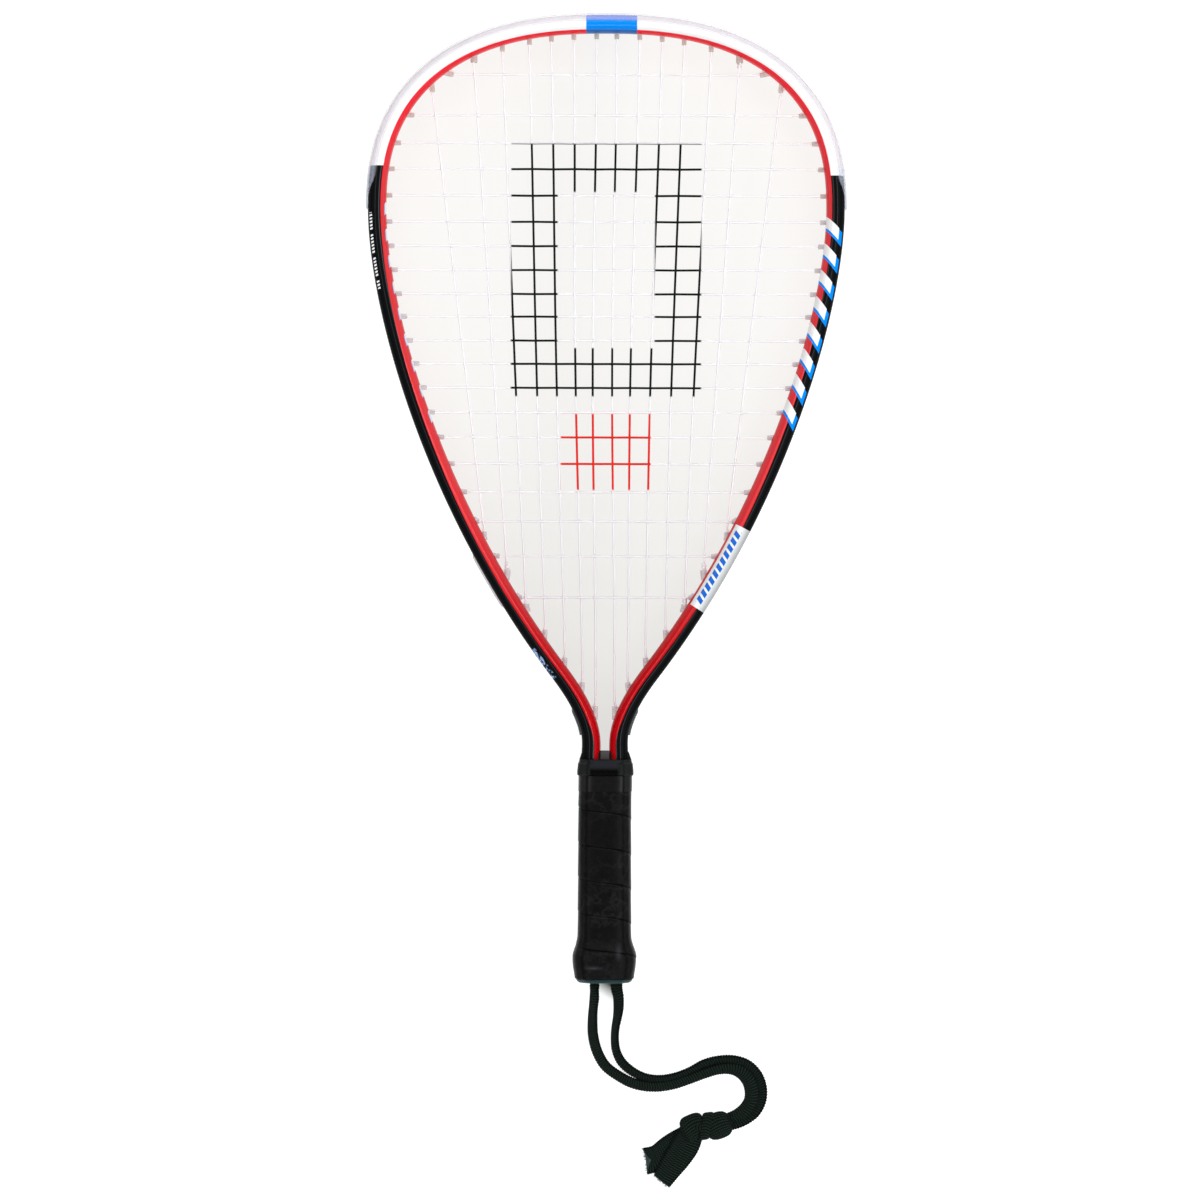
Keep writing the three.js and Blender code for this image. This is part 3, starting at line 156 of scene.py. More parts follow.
BARREL_IN_WALL = 1.6
BARREL_MARK = -30.0

# Bumper and grommet strips
BUMPER_END = (CROSS_HEIGHTS[4] + CROSS_HEIGHTS[5]) / 2
BUMPER_LAP = 3.9
SKIN_GAP = 0.1
BUMPER_STEP = 1.8
BUMPER_CUTS = (0.2, 0.5, 1.0, 0.9, 0.3, 0.2, 0.2, 0.3, 0.9, 1.0, 0.5, 0.2) + (0.15,) * 8
LIP_START = 450.0
LIP_FULL = 466.5
STRIP_FOOT_HEIGHT = 143.5
STRIP_BULGES = {-1: ((100.0, 164.0), (215.0, 253.0)), 1: ((100.0, 164.0),)}
BULGE = 2.7
BULGE_RUN_IN = 6.0
STRIP_STEP = 2.0
STRIP_CUTS = (0.2, 0.3, 0.6, 0.6, 0.3, 0.2)

# Paint
RED_EDGES = (
    # height, and how far out the red reaches there
    (110, -1.7), (137, -1.7), (144, -1.1), (151, -0.3), (180, -0.1), (225, 0.4), (262, 0.1), (300, -0.4),
    (353, -0.9), (422, -2.1), (440, -2.2), (475, -2.2), (520, -2.6), (553, -3.3),
)
WHITE_FEET = (470.4, 465.2)
TOP_BAND = (-11.9, 17.5)
SIDE_BARS_COUNT = 8
WALL_BARS_COUNT = 9
BAR_PITCH = 15.6
BAR_WIDTH = 6.6
BAR_SHADE = 1.9
BAR_SLANT = 0.9
LABEL_DASH_PITCH = 4.3
LABEL_DASH = 0.66 * LABEL_DASH_PITCH
LABEL_MARGIN = 3.0
SMOKY_TOP = 166.0
STENCIL_BOX = (-55.0, 55.0, 338.0, 484.0)
STENCIL_INNER = (-28.0, 28.0, 366.0, 456.0)
STENCIL_BAR = (-26.0, 26.0, 284.0, 328.0)

# Handle
PALLET_HALVES = np.array([12.7, 11.5])
CAP_HALVES = np.array([16.15, 14.7])
CAP_TOP = 25.0
CAP_FLARE_TOP = 12.6
CAP_FLARE_FOOT = 9.0
CAP_RIM = 2.0
CAP_SEAT_SHARE = 0.96
CAP_EDGE = (
    # height, half width and half depth of the rounded edge
    (0.0, 14.3, 12.9), (0.15, 14.8, 13.4), (0.6, 15.5, 14.1), (1.2, 15.95, 14.5), (CAP_RIM, 16.35, 14.9),
)
CAP_HEIGHTS = (2.2, 2.6, 5, 7, 9, 11, 12.6, 15, 18, 21, 25)
CORNER_SHARE = 0.42
ROUND = 96
TAPE_THICKNESS = 1.7
TAPE_PITCH = 19.6
TAPE_FOOT = 2.4
TAPE_TOP = 117.0
TAPE_BRIDGE = 2.4
TAPE_ACROSS = 12
TAPE_ROUND = 160
TAPE_LIFT = 0.34
TAPE_FULLNESS = (
    # height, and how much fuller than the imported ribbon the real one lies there
    (2.4, -0.4), (6, -0.3), (9, 0.0), (12, 0.35), (15, 0.4), (18, 0.24), (21, 0.3), (26.5, 0.9), (38, 0.8),
    (117, 0.65),
)
SEAM_HEIGHT = 38.4
SEAM_CREEP = 0.17
SEAM_SHARE = 0.3125
TAPE_LEAST = 1.2
BAND_FOOT = 110.3
BAND_TOP = 119.2
BAND_OVER_TAPE = 0.5
BAND_THICKNESS = 0.8
COLLAR_FOOT = 119.5
COLLAR_TOP = 132.8
COLLAR_HALVES = np.array([16.0, 14.8])
COLLAR_FACE_HALF_DEPTH = 6.9
COLLAR_SHIFT = 0.3
COLLAR_SHADOW_TOP = 0.32
COLLAR_PANEL = (0.34, 0.69)
COLLAR_FACE_FOOT = 0.7
COLLAR_LEVELS = (
    # share of its height, and its size there
    (0, 0.94), (0, 0.99), (0.015, 1.005), (0.06, 1.018), (0.2, 1.014), (0.33, 1.004), (0.35, 1.001),
    (0.4, 0.998), (0.5, 0.988), (0.53, 0.965), (0.6, 0.95), (0.69, 0.935), (0.7, 0.93), (0.72, 0.925),
    (0.85, 0.89), (0.97, 0.855), (1, 0.835), (1, 0.7),
)
YOKE_HALVES = np.array([2.6, 7.4])
YOKE_TOP = 133.4

# Wrist cord
SLOT_HALF = 6.3
EXIT_SHIFT = 0.75
# Flat at the exit, so that its edges stay clear of the cap as it swings
EXIT_FORMS = {
    # width, thickness and turn from flat in quarter turns, at the exit and a little further out
    -1: ((5.2, 3.7, 0.0), (6.4, 3.6, 0.5)),
    1: ((6.9, 3.7, 0.0), (7.0, 3.5, 0.2)),
}
LACE_WIDTH = 7.0
LACE_THICKNESS = 3.0
LACE_STEP = 0.36
LACE_POINTS = 30
LACE_EXIT = 3.5
RIB_PITCH = 1.5
RIB_HEIGHT = 0.34
RIB_BEND = 0.9
RIB_SHIFT_BEHIND = 0.25 * RIB_PITCH
LACE_POWERS = (0.8, 0.75)
TAIL_THICKNESS = 1.6
KNOT_LOOP_POINTS = 150
LOBE_ROWS = 54
LEFT_ROUTE = (
    (594.4, 997), (593.4, 1007), (592.6, 1021), (593.3, 1036.5), (597.4, 1052), (605.6, 1066),
    (618, 1075.5), (632, 1082.8), (646, 1086), (660, 1086.2), (675, 1083.6), (690, 1078.6),
    (705, 1073), (720, 1068.8), (733, 1068.8), (743, 1073.5), (749.6, 1082), (752, 1091.5),
    (751, 1101), (746, 1109), (738.5, 1115), (725, 1121),
)
LEFT_HEIGHTS = (-0.5, -2.2, -6.2, -10.6, -13.2)
LEFT_TURN_SHARES = (
    0.5, 0.55, 0.48, 0.4, 0.36, 0.36, 0.36, 0.32, 0.3, 0.3, 0.32, 0.34, 0.32, 0.3, 0.2, 0.1,
)
LEFT_END_WIDTHS = (7.2, 7.6, 8.2, 8.6, 8.6, 8.6, 8.4, 8, 7.6)
RIGHT_ROUTE = (
    (618.3, 996.5), (618.6, 1006), (617.4, 1017), (615.6, 1027), (614.9, 1039), (616.2, 1050.5),
    (621, 1061), (631, 1070.5), (644, 1077), (658, 1079.2), (674, 1077.2), (690, 1071.5),
    (705, 1063.6), (721, 1059.8), (734, 1059.8), (747.5, 1064.3), (757.5, 1074.5), (762, 1087),
    (761.2, 1101), (755, 1112.5), (744, 1120.5), (724, 1127),
)
RIGHT_HEIGHTS = (-0.5, -3, -6.5, -10, -12.5)
RIGHT_TURN_SHARES = (0.36, 0.42, 0.58, 0.66, 0.64, 0.58, 0.5, 0.5, 0.55, 0.55, 0.52, 0.5, 0.48, 0.5, 0.5)
TAIL_FRONT_ROUTE = ((692, 1131), (686.5, 1143.5), (678, 1157), (669, 1170), (661.5, 1181.5))
TAIL_BACK_ROUTE = ((690, 1133), (679.5, 1143), (668, 1152), (656.5, 1158.5), (644.8, 1161.3))
LOBES = (
    # pixel of its middle, height, angle along, half sizes along, across and up, squareness
    ((718, 1125.5), 5.5, 200, (8.0, 7.5, 5.4), 2.9),
    ((693.6, 1127), 4.9, 203, (7.3, 7.3, 4.8), 3.6),
)
FRAY_SEED = 11
FRAY_COUNT = 46
FRAY_RADIUS = 0.09

# Sky: parts of its height and the light in each, and how much more comes from the right
SKY_TILT = 0.45
SKY_RED = 0.985
SKY_LEVELS = (
    (0.0, 0.12), (0.3, 0.14), (0.55, 0.16), (0.67, 0.4), (0.74, 3.7), (0.86, 3.7), (0.91, 0.3), (0.96, 0.11),
    (1.0, 0.1),
)


def world(points):
    """Millimetres in the racket's own frame to metres in the shared one."""
    p = np.asarray(points, float)
    return np.stack([p[..., 0], p[..., 1] - LENGTH / 2, p[..., 2] + AXIS_HEIGHT], -1) * MM


def ramp(value, low, high):
    share = np.clip((np.asarray(value, float) - low) / (high - low), 0, 1)
    return share * share * (3 - 2 * share)


def mix(a, b, share):
    return a + (b - a) * share


def unit(vectors):
    return vectors / np.linalg.norm(vectors, axis=-1, keepdims=True)


def lengths(points):
    """How far along a line each of its points is."""
    return np.concatenate([[0], np.cumsum(np.linalg.norm(np.diff(points, axis=0), axis=1))])


def curve(a, b, c, t):
    return (1 - t) ** 2 * a + 2 * t * (1 - t) * b + t * t * c


def level_way(angle):
    """The level direction at an angle, and the one square to it."""
    ahead = np.array([math.cos(angle), math.sin(angle), 0])
    return ahead, np.array([-ahead[1], ahead[0], 0])


def circle(count, start=0.0):
    return 2 * np.pi * (np.arange(count) + start) / count


def seen(x, y, z):
    """The point at this height above the strings that the photograph shows at this pixel."""
    reach = PIXEL * (1 - z / VIEW_DISTANCE)
    across, down = (x - IMAGE_SIZE[0] / 2) * reach, (y - IMAGE_SIZE[1] / 2) * reach
    c, s = math.cos(VIEW_ROLL), math.sin(VIEW_ROLL)
    return (VIEW_MIDDLE[0] + across * c + down * s, VIEW_MIDDLE[1] - down * c + across * s, z)


def add_object(name, data):
    made = bpy.data.objects.new(name, data)
    bpy.context.scene.collection.objects.link(made)
    return made


class Parts:
    """Skins gathered into one object, with a number for each point under each value's name."""

    def __init__(self):
        self.points, self.faces, self.values, self.count = [], [], {}, 0

    def rings(self, rings, loop=False, **values):
        """A skin over rings of equally many points; loop joins the last ring to the first."""
        n, m = len(rings), len(rings[0])
        rows = np.arange(n if loop else n - 1)[:, None] * m
        after = (rows + m) % (n * m)
        near = np.arange(m)[None, :]
        far = (near + 1) % m
        faces = np.stack([rows + near, rows + far, after + far, after + near], -1).reshape(-1, 4).tolist()
        if not loop:
            faces += [list(range(m))[::-1], list(range((n - 1) * m, n * m))]
        self.faces += [[i + self.count for i in face] for face in faces]
        self.points.append(np.asarray(rings, float).reshape(-1, 3))
        for name, numbers in values.items():
            filled = np.broadcast_to(np.asarray(numbers, float).reshape(-1), n * m)
            self.values.setdefault(name, []).append(filled)
        self.count += n * m

    def object(self, name, material, node, body="racket", flat_angle=None):
        mesh = bpy.data.meshes.new(name)
        mesh.from_pydata(world(np.concatenate(self.points)).tolist(), [], self.faces)
        for value, numbers in self.values.items():
            layer = mesh.attributes.new(value, "FLOAT", "POINT")
            layer.data.foreach_set("value", np.concatenate(numbers).astype(np.float32))
        shape = bmesh.new()
        shape.from_mesh(mesh)
        bmesh.ops.recalc_face_normals(shape, faces=shape.faces)
        shape.to_mesh(mesh)
        shape.free()
        mesh.polygons.foreach_set("use_smooth", [True] * len(mesh.polygons))
        if flat_angle is not None:
            mesh.set_sharp_from_angle(angle=math.radians(flat_angle))
        mesh.materials.append(material)
        made = add_object(name, mesh)
        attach(made, body)
        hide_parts(node)
        return made


def add_camera():
    data = bpy.data.cameras.new("camera")
    data.sensor_width = SENSOR
    data.lens = LENS
    data.clip_start, data.clip_end = 0.01, 20
    camera = add_object("camera", data)
    camera.location = Vector(world((*VIEW_MIDDLE, VIEW_DISTANCE)))
    camera.rotation_euler = (0, 0, VIEW_ROLL)
    bpy.context.scene.camera = camera


# Curves through points

def smooth_path(points, extra):
    """A smooth line through points, in equal steps, with the columns of extra carried along."""
    p = np.asarray(points, float)
    columns = np.hstack([p, np.asarray(extra, float)])
    knots = lengths(p)
    slopes = np.gradient(columns, knots, axis=0)
    fine = np.arange(0, knots[-1], LACE_STEP / 4)
    k = np.clip(np.searchsorted(knots, fine, side="right") - 1, 0, len(knots) - 2)
    span = (knots[k + 1] - knots[k])[:, None]
    t = ((fine - knots[k])[:, None]) / span
    line = (
        (1 + 2 * t) * (1 - t) ** 2 * columns[k]
        + t * (1 - t) ** 2 * span * slopes[k]
        + t * t * (3 - 2 * t) * columns[k + 1]
        + t * t * (t - 1) * span * slopes[k + 1]
    )
    line = np.vstack([line, columns[-1]])
    run = lengths(line[:, :3])
    even = np.linspace(0, run[-1], max(int(run[-1] / LACE_STEP), 2) + 1)
    made = np.stack([np.interp(even, run, column) for column in line.T], -1)
    return made[:, :3], made[:, 3:], even


def directions(path):
    return unit(np.gradient(path, axis=0))


def level_frame(path):
    """At each point of a path: its direction, the level direction square to it, and up from those."""
    ahead = directions(path)
    side = unit(np.cross(UP, ahead))
    return ahead, side, np.cross(ahead, side)


# Braided lace

def lace_rings(path, side, rise, widths, thicknesses, run):
    """Rings of a flat braided lace, ribbed across, with how far along and across each point is."""
    angle = circle(LACE_POINTS, 0.5)
    waves = zip((np.cos(angle), np.sin(angle)), LACE_POWERS)
    across, thick = (np.sign(wave) * np.abs(wave) ** power for wave, power in waves)
    chevron = run[:, None] + RIB_BEND * np.abs(across) + RIB_SHIFT_BEHIND * (thick < 0)
    rib = 0.5 + 0.5 * np.cos(2 * np.pi * chevron / RIB_PITCH)
    swell = RIB_HEIGHT * (rib - 0.6)
    x = across * (widths[:, None] / 2 + swell)
    y = thick * (thicknesses[:, None] / 2 + swell)
    rings = path[:, None, :] + x[..., None] * side[:, None, :] + y[..., None] * rise[:, None, :]
    along = np.broadcast_to(run[:, None], x.shape)
    return rings, {"lace_run": along, "lace_across": np.broadcast_to(across, x.shape), "lace_rib": rib}


def strand(name, side_sign, route, heights, turn_shares, end_widths, node):
    """One strand of the cord: route in the photograph's pixels, turns from flat in quarter turns."""
    x = side_sign * SLOT_HALF + EXIT_SHIFT
    points = [(x, -GAP, 0), (x + 0.1 * side_sign, -LACE_EXIT, 0)]
    extra = list(EXIT_FORMS[side_sign])
    plain = len(route) - len(end_widths)
    for i, pixel in enumerate(route):
        width = LACE_WIDTH if i < plain else end_widths[i - plain]
        share = turn_shares[min(i, len(turn_shares) - 1)]
        turn = share * math.pi / 2
        half = math.hypot(width / 2 * math.sin(turn), LACE_THICKNESS / 2 * math.cos(turn))
        rest = FLOOR + half + RIB_HEIGHT / 2
        points.append(seen(*pixel, max(heights[i], rest) if i < len(heights) else rest))
        extra.append((width, LACE_THICKNESS, share))
    path, shape, run = smooth_path(points, extra)
    _, side, rise = level_frame(path)
    turns = shape[:, 2:] * np.pi / 2
    c, s = np.cos(turns), np.sin(turns)
    rings, marks = lace_rings(path, side * c + rise * s, rise * c - side * s, shape[:, 0], shape[:, 1], run)
    parts = Parts()
    parts.rings(rings, **marks)
    made = parts.object(name, BRAID, node, "wrist_cord")


# Materials

class Wire:
    """A value inside a material; sums, differences and products of wires become nodes."""

    def __init__(self, shader, socket):
        self.shader, self.socket = shader, socket

    def __add__(self, other):
        return self.shader.math("ADD", self, other)

    def __sub__(self, other):
        return self.shader.math("SUBTRACT", self, other)

    def __rsub__(self, other):
        return self.shader.math("SUBTRACT", other, self)

    def __mul__(self, other):
        return self.shader.math("MULTIPLY", self, other)

    def __mod__(self, other):
        return self.shader.math("MODULO", self, other)


class Nodes:
    """A tree of nodes, and the few kinds of node that the materials and the sky use."""

    def __init__(self, tree):
        self.tree = tree

    def feed(self, socket, value):
        if isinstance(value, Wire):
            self.tree.links.new(value.socket, socket)
        else:
            socket.default_value = value

    def node(self, kind, inputs, output=0, **settings):
        """Adds a node, sets or links its inputs, and gives one of its outputs."""
        made = self.tree.nodes.new("ShaderNode" + kind)
        for key, value in settings.items():
            setattr(made, key, value)
        for key, value in inputs.items():
            self.feed(made.inputs[key], value)
        return Wire(self, made.outputs[output])

    def math(self, operation, a, b=0.0, clamp=False):
        return self.node("Math", {0: a, 1: b}, operation=operation, use_clamp=clamp)

    def either(self, a, b):
        return self.math("MAXIMUM", a, b)

    def value(self, name):
        return self.node("Attribute", {}, "Fac", attribute_name=name)

    def where(self):
        return self.node("TexCoord", {}, "Object")

    def place(self):
        """Millimetres in the racket's own frame: across and height above the butt."""
        where = self.where()
        across, height = (self.node("SeparateXYZ", {0: where}, i) * (1 / MM) for i in (0, 1))
        return across, height + LENGTH / 2

    def above(self, value, limit, soft=0.08):
        """0 below a limit and 1 above it."""
        return self.node("MapRange", {"Value": value, "From Min": limit - soft, "From Max": limit + soft})

    def between(self, value, low, high, soft=0.08):
        return self.above(value, low, soft) * (1.0 - self.above(value, high, soft))

    def fade(self, value, start, end):
        """From 0 to 1 between two limits, smoothly."""
        inputs = {"Value": value, "From Min": start, "From Max": end}
        return self.node("MapRange", inputs, interpolation_type="SMOOTHSTEP")

    def color(self, share, a, b):
        a, b = (end if isinstance(end, Wire) else (*end, 1) for end in (a, b))
        return self.node("Mix", {0: share, 6: a, 7: b}, 2, data_type="RGBA")

    def number(self, share, a, b):
        return self.node("Mix", {0: share, 2: a, 3: b}, data_type="FLOAT")

    def noise(self, scale, detail=3.0, roughness=0.5):
        inputs = {"Scale": scale, "Detail": detail, "Roughness": roughness, "Vector": self.where()}
        return self.node("TexNoise", inputs, "Fac")

    def cells(self, scale):
        return self.node("TexVoronoi", {"Scale": scale, "Vector": self.where()}, "Distance")

    def bump(self, height, strength, distance, under=None):
        inputs = {"Strength": strength, "Distance": distance * MM, "Height": height}
        if under is not None:
            inputs["Normal"] = under
        return self.node("Bump", inputs, "Normal")


class Shader(Nodes):
    """One material."""

    def __init__(self, name):
        self.material = bpy.data.materials.new(name)
        self.material.use_nodes = True
        super().__init__(self.material.node_tree)
        self.tree.nodes.clear()
        self.surface = self.tree.nodes.new("ShaderNodeBsdfPrincipled")
        output = self.tree.nodes.new("ShaderNodeOutputMaterial")
        self.tree.links.new(self.surface.outputs[0], output.inputs[0])

    def set(self, **inputs):
        for name, value in inputs.items():
            self.feed(self.surface.inputs[name.replace("_", " ").title().replace("Ior", "IOR")], value)

    def finish(self, wear, roughness, bumps, depth, **rest):
        """Roughness and bumps from noise or cells, and the rest; gives the finished material."""
        relief = self.noise(*bumps) if len(bumps) > 1 else self.cells(*bumps)
        self.set(roughness=self.number(self.noise(*wear), *roughness), **rest)
        self.set(normal=self.bump(relief, *depth))
        return self.material


def frame_lacquer():
    s = Shader("frame_lacquer")
    across, height = s.place()
    run, out, face = s.value("run"), s.value("out"), s.value("face")
    flake = s.noise(2600, 2)
    inner = s.above(s.value("inner_wall"), 0.0, 0.3)
    quiet = s.either(inner, s.above(out, 2.7, 0.7))
    black = s.color(flake, (0.0022, 0.0028, 0.0032), (0.0045, 0.005, 0.006))
    bright_red = s.color(flake, (0.7, 0.03, 0.038), (0.79, 0.042, 0.052))
    deep_red = s.color(flake, (0.46, 0.001, 0.004), (0.54, 0.003, 0.007))
    crown_red = s.color(flake, (0.93, 0.014, 0.03), (0.98, 0.022, 0.04))
    red = s.color(s.fade(height, 430, 520), bright_red, crown_red)
    red = s.color(s.fade(height, 300, 160), red, deep_red)
    white = s.color(flake, (0.93, 0.93, 0.94), (0.97, 0.97, 0.97))
    blue = s.color(flake, (0.0, 0.24, 0.9), (0.0, 0.28, 0.98))
    # Painted shade: the blue band darker where it turns down the inner wall
    shaded_blue = s.color(flake, (0.02, 0.13, 0.45), (0.03, 0.16, 0.5))
    pale = s.color(flake, (0.3, 0.45, 0.8), (0.4, 0.55, 0.88))
    waver = (s.noise(60, 2) - 0.5) * 0.12
    on_front = s.above(face, 0.0, 0.2)
    on_wall = s.above(face, -4.0, 0.2)

    side_bars, side_shade = slanted_bars(s, run, out, SIDE_BARS_RUN, SIDE_BARS_COUNT, (-6.5, 2.2), BAR_SHADE)
    back = run * -1
    wall_bars, wall_shade = slanted_bars(s, back, out, -WALL_BARS_RUN, WALL_BARS_COUNT, (-6.5, -4.65), 0.4)
    label, dashes = label_masks(s, run, out)
    shaded = s.number(s.above(out, 2.4, 2.0), 0.88, 0.42)
    paper = s.node("CombineColor", {0: shaded * 0.97, 1: shaded * 0.99, 2: shaded * 1.0})
    band = s.between(across, *TOP_BAND, 0.15) * s.above(height, HEAD_TOP - 30, 1)
    paint = black
    for mask, coat in (
        (s.above(s.value("white_edge"), 0.0, 0.1), white),
        (s.above(s.value("red_edge") + waver, 0.0, 0.08), red),
        (side_shade * on_front, blue),
        (side_bars * on_front, white),
        (wall_shade * on_wall, pale),
        (wall_bars * on_wall, white),
        (small_marks(s, run, out) * on_front, white),
        (worn_marks(s, run, out) * on_front, pale),
        (label * on_front, paper),
        (dashes * on_front, (0.01, 0.13, 0.6)),
        (band, s.color(inner, blue, shaded_blue)),
    ):
        paint = s.color(mask, paint, coat)
    s.set(specular_ior_level=s.number(quiet, 0.2, 0.02), coat_weight=s.number(quiet, 0.12, 0.0))
    s.set(base_color=paint, ior=1.5, coat_roughness=0.06)
    return s.finish((900, 3), (0.13, 0.2), (350, 4), (0.05, 0.1))


def slanted_bars(s, run, out, start, count, reach, shade_width):
    """Plain slanted bars in a row along the frame, each with a blue edge below it."""
    slanted = run - start + out * -BAR_SLANT
    length = count * BAR_PITCH
    phase = (slanted + 10 * BAR_PITCH) % BAR_PITCH
    bars = s.between(slanted, 0.0, length) * s.between(out, *reach)
    shade = s.between(slanted, 0.0, length + 1) * s.between(out, reach[0], reach[1] + shade_width)
    return (
        bars * s.between(phase, 1.0, 1.0 + BAR_WIDTH),
        shade * s.between(phase, 1.6, 1.0 + BAR_WIDTH + shade_width),
    )


def small_marks(s, run, out):
    """A row of small plain strokes on the left side's outer slope."""
    along = run - SMALL_MARKS_RUN[0]
    stroke = along + out * 0.25 + 100.0
    row = s.between(along, 0.0, SMALL_MARKS_RUN[1] - SMALL_MARKS_RUN[0]) * s.between(out, 2.7, 4.2)
    return row * s.between(stroke % 1.9, 0.0, 1.05) * s.above(stroke % 13.3, 1.9, 0.05)


def worn_marks(s, run, out):
    """Worn pale strokes near the throat, on the left."""
    specks = s.above(s.noise(420, 3, roughness=0.7), 0.5, 0.03)
    return s.between(run, *WORN_MARKS_RUN, 0.4) * s.between(out, 2.9, 5.6, 0.3) * specks


def label_masks(s, run, out):
    """A white label round the right limb, with one row of plain blue dashes."""
    label = s.between(run, *LABEL_RUN) * s.above(out, -4.1)
    row = s.between(run, LABEL_RUN[0] + LABEL_MARGIN, LABEL_RUN[1] - LABEL_MARGIN)
    phase = (run + out * -0.5 - LABEL_RUN[0]) % LABEL_DASH_PITCH
    return label, row * s.between(out, -2.6, 1.2) * s.between(phase, 0.0, LABEL_DASH)


def bumper_plastic():
    """Milky and thin over the frame's faces, denser at its outer edge and in its barrels."""
    s = Shader("bumper_plastic")
    _, height = s.place()
    out = s.value("out")
    over_white = s.above(height, WHITE_FEET[0], 1.0)
    edge = s.above(out, TUBE_HALF_WIDTH + 0.4, 0.8)
    barrel = s.above(out * -1, -BARREL_MARK / 2, 0.5)
    cloud = s.noise(120, 4)
    bluish = s.color(cloud, (0.62, 0.65, 0.78), (0.68, 0.7, 0.84))
    pinkish = s.color(cloud, (0.78, 0.69, 0.77), (0.84, 0.74, 0.82))
    milky = s.color(over_white, bluish, pinkish)
    milky = s.color(edge, milky, s.color(over_white, (0.42, 0.45, 0.52), (0.6, 0.55, 0.59)))
    s.set(base_color=s.color(barrel, milky, (0.7, 0.62, 0.58)), ior=1.5, specular_ior_level=0.2)
    s.set(alpha=s.number(barrel, s.number(edge, 0.21, 0.31), 0.5))
    return s.finish((700, 4), (0.3, 0.45), (900, 5, 0.7), (0.1, 0.15))


def grommet_plastic():
    """Clear and a little milky, and smoky near the handle, apart from its barrels."""
    s = Shader("grommet_plastic")
    _, height = s.place()
    smoky = s.above(s.value("out"), BARREL_MARK / 2, 0.5) * (1.0 - s.above(height, SMOKY_TOP, 3.0))
    plain = s.color(s.noise(300, 3), (0.68, 0.62, 0.65), (0.77, 0.7, 0.74))
    worn = s.color(s.noise(200, 3), (0.022, 0.03, 0.028), (0.07, 0.085, 0.08))
    s.set(base_color=s.color(smoky, plain, worn), alpha=s.number(smoky, 0.52, 0.8))
    return s.finish((800, 3), (0.2, 0.32), (500, 2), (0.05, 0.1), ior=1.5, specular_ior_level=0.25)


def string_plastic():
    """White, with a plain black ring and a red bar stencilled on; paler towards the head, from painted shade
    that darkens them towards the handle and a faint painted glow.
    """
    s = Shader("string_plastic")
    across, height = s.place()

    def inside(box):
        return s.between(across, *box[:2], 0.5) * s.between(height, *box[2:], 0.5)

    ring = inside(STENCIL_BOX) * (1.0 - inside(STENCIL_INNER))
    bar = inside(STENCIL_BAR)
    patchy = s.number(s.noise(900, 3), 0.985, 1.0)
    # Painted shade: plain strings lilac and darker towards the handle
    lit = s.fade(height, 130, 360)
    plain = s.color(lit, (0.7, 0.65, 0.69), (0.85, 0.84, 0.865))
    paint = s.color(ring * patchy, plain, (0.001, 0.005, 0.0025))
    paint = s.color(bar * patchy, paint, (0.74, 0.02, 0.014))
    painted = s.either(ring, bar)
    s.set(base_color=paint, roughness=s.number(painted, 0.3, 0.6), ior=1.5)
    s.set(specular_ior_level=s.number(painted, 0.4, 0.03))
    # Painted glow on the plain strings, stronger towards the head
    s.set(emission_color=(0.97, 0.96, 1.0, 1), emission_strength=lit * s.number(painted, 0.018, 0.0))
    return s.material


def collar_rubber():
    s = Shader("collar_rubber")
    panel = s.value("panel")
    plain = s.color(s.noise(300, 4), (0.002, 0.0026, 0.0024), (0.005, 0.006, 0.0055))
    # Painted shadow: the strip under the front panel, near black, with little gloss
    notch = s.above(panel * -1, 0.5, 0.3)
    # Painted reflection: the front panel lighter and bluish
    panel_reflection = s.color(panel, plain, (0.0085, 0.009, 0.0135))
    s.set(base_color=s.color(notch, panel_reflection, (0.0006, 0.0006, 0.0007)))
    s.set(specular_ior_level=s.number(notch, 0.12, 0.04))
    return s.finish((900, 4), (0.38, 0.52), (2400, 3), (0.2, 0.06))


def grip_rubber():
    """Black and pebbled, with soft creases and scuffs, and two painted highlights over the butt."""
    s = Shader("grip_tape")
    across, height = s.place()
    grain = s.noise(260, 5, roughness=0.65)
    creases = s.noise(90, 4, roughness=0.6)
    squiggle = s.math("SUBTRACT", 1.0, s.math("ABSOLUTE", creases - 0.5) * 22, clamp=True)
    scuffed = squiggle * s.above(s.noise(28, 2), 0.5, 0.12) * s.number(grain, 0.2, 1.0)
    dark = s.color(grain, (0.0008, 0.0008, 0.0008), (0.005, 0.0048, 0.0047))
    paint = s.color(scuffed, dark, (0.014, 0.014, 0.0135))
    # Two pale painted highlights on the butt's flare, standing in for gloss catching the light
    painted_highlight = s.between(across, 7.0, 9.4, 1.2) * s.between(height, 15.0, 21.0, 3.0)
    painted_highlight = painted_highlight * s.above(s.noise(40, 2), 0.35, 0.2)
    low_painted_highlight = s.between(across, -9.5, -2.5, 3.0) * s.between(height, 8.4, 9.6, 0.7)
    painted_highlights = s.either(painted_highlight, low_painted_highlight) * s.number(grain, 0.1, 0.9)
    s.set(base_color=s.color(painted_highlights, paint, (0.06, 0.06, 0.075)))
    s.set(roughness=s.number(grain, 0.3, 0.5), ior=1.45, specular_ior_level=0.075)
    fine = s.bump(s.cells(1300), 0.4, 0.1)
    s.set(normal=s.bump(creases, 0.5, 0.9, s.bump(grain, 0.5, 0.45, fine)))
    return s.material


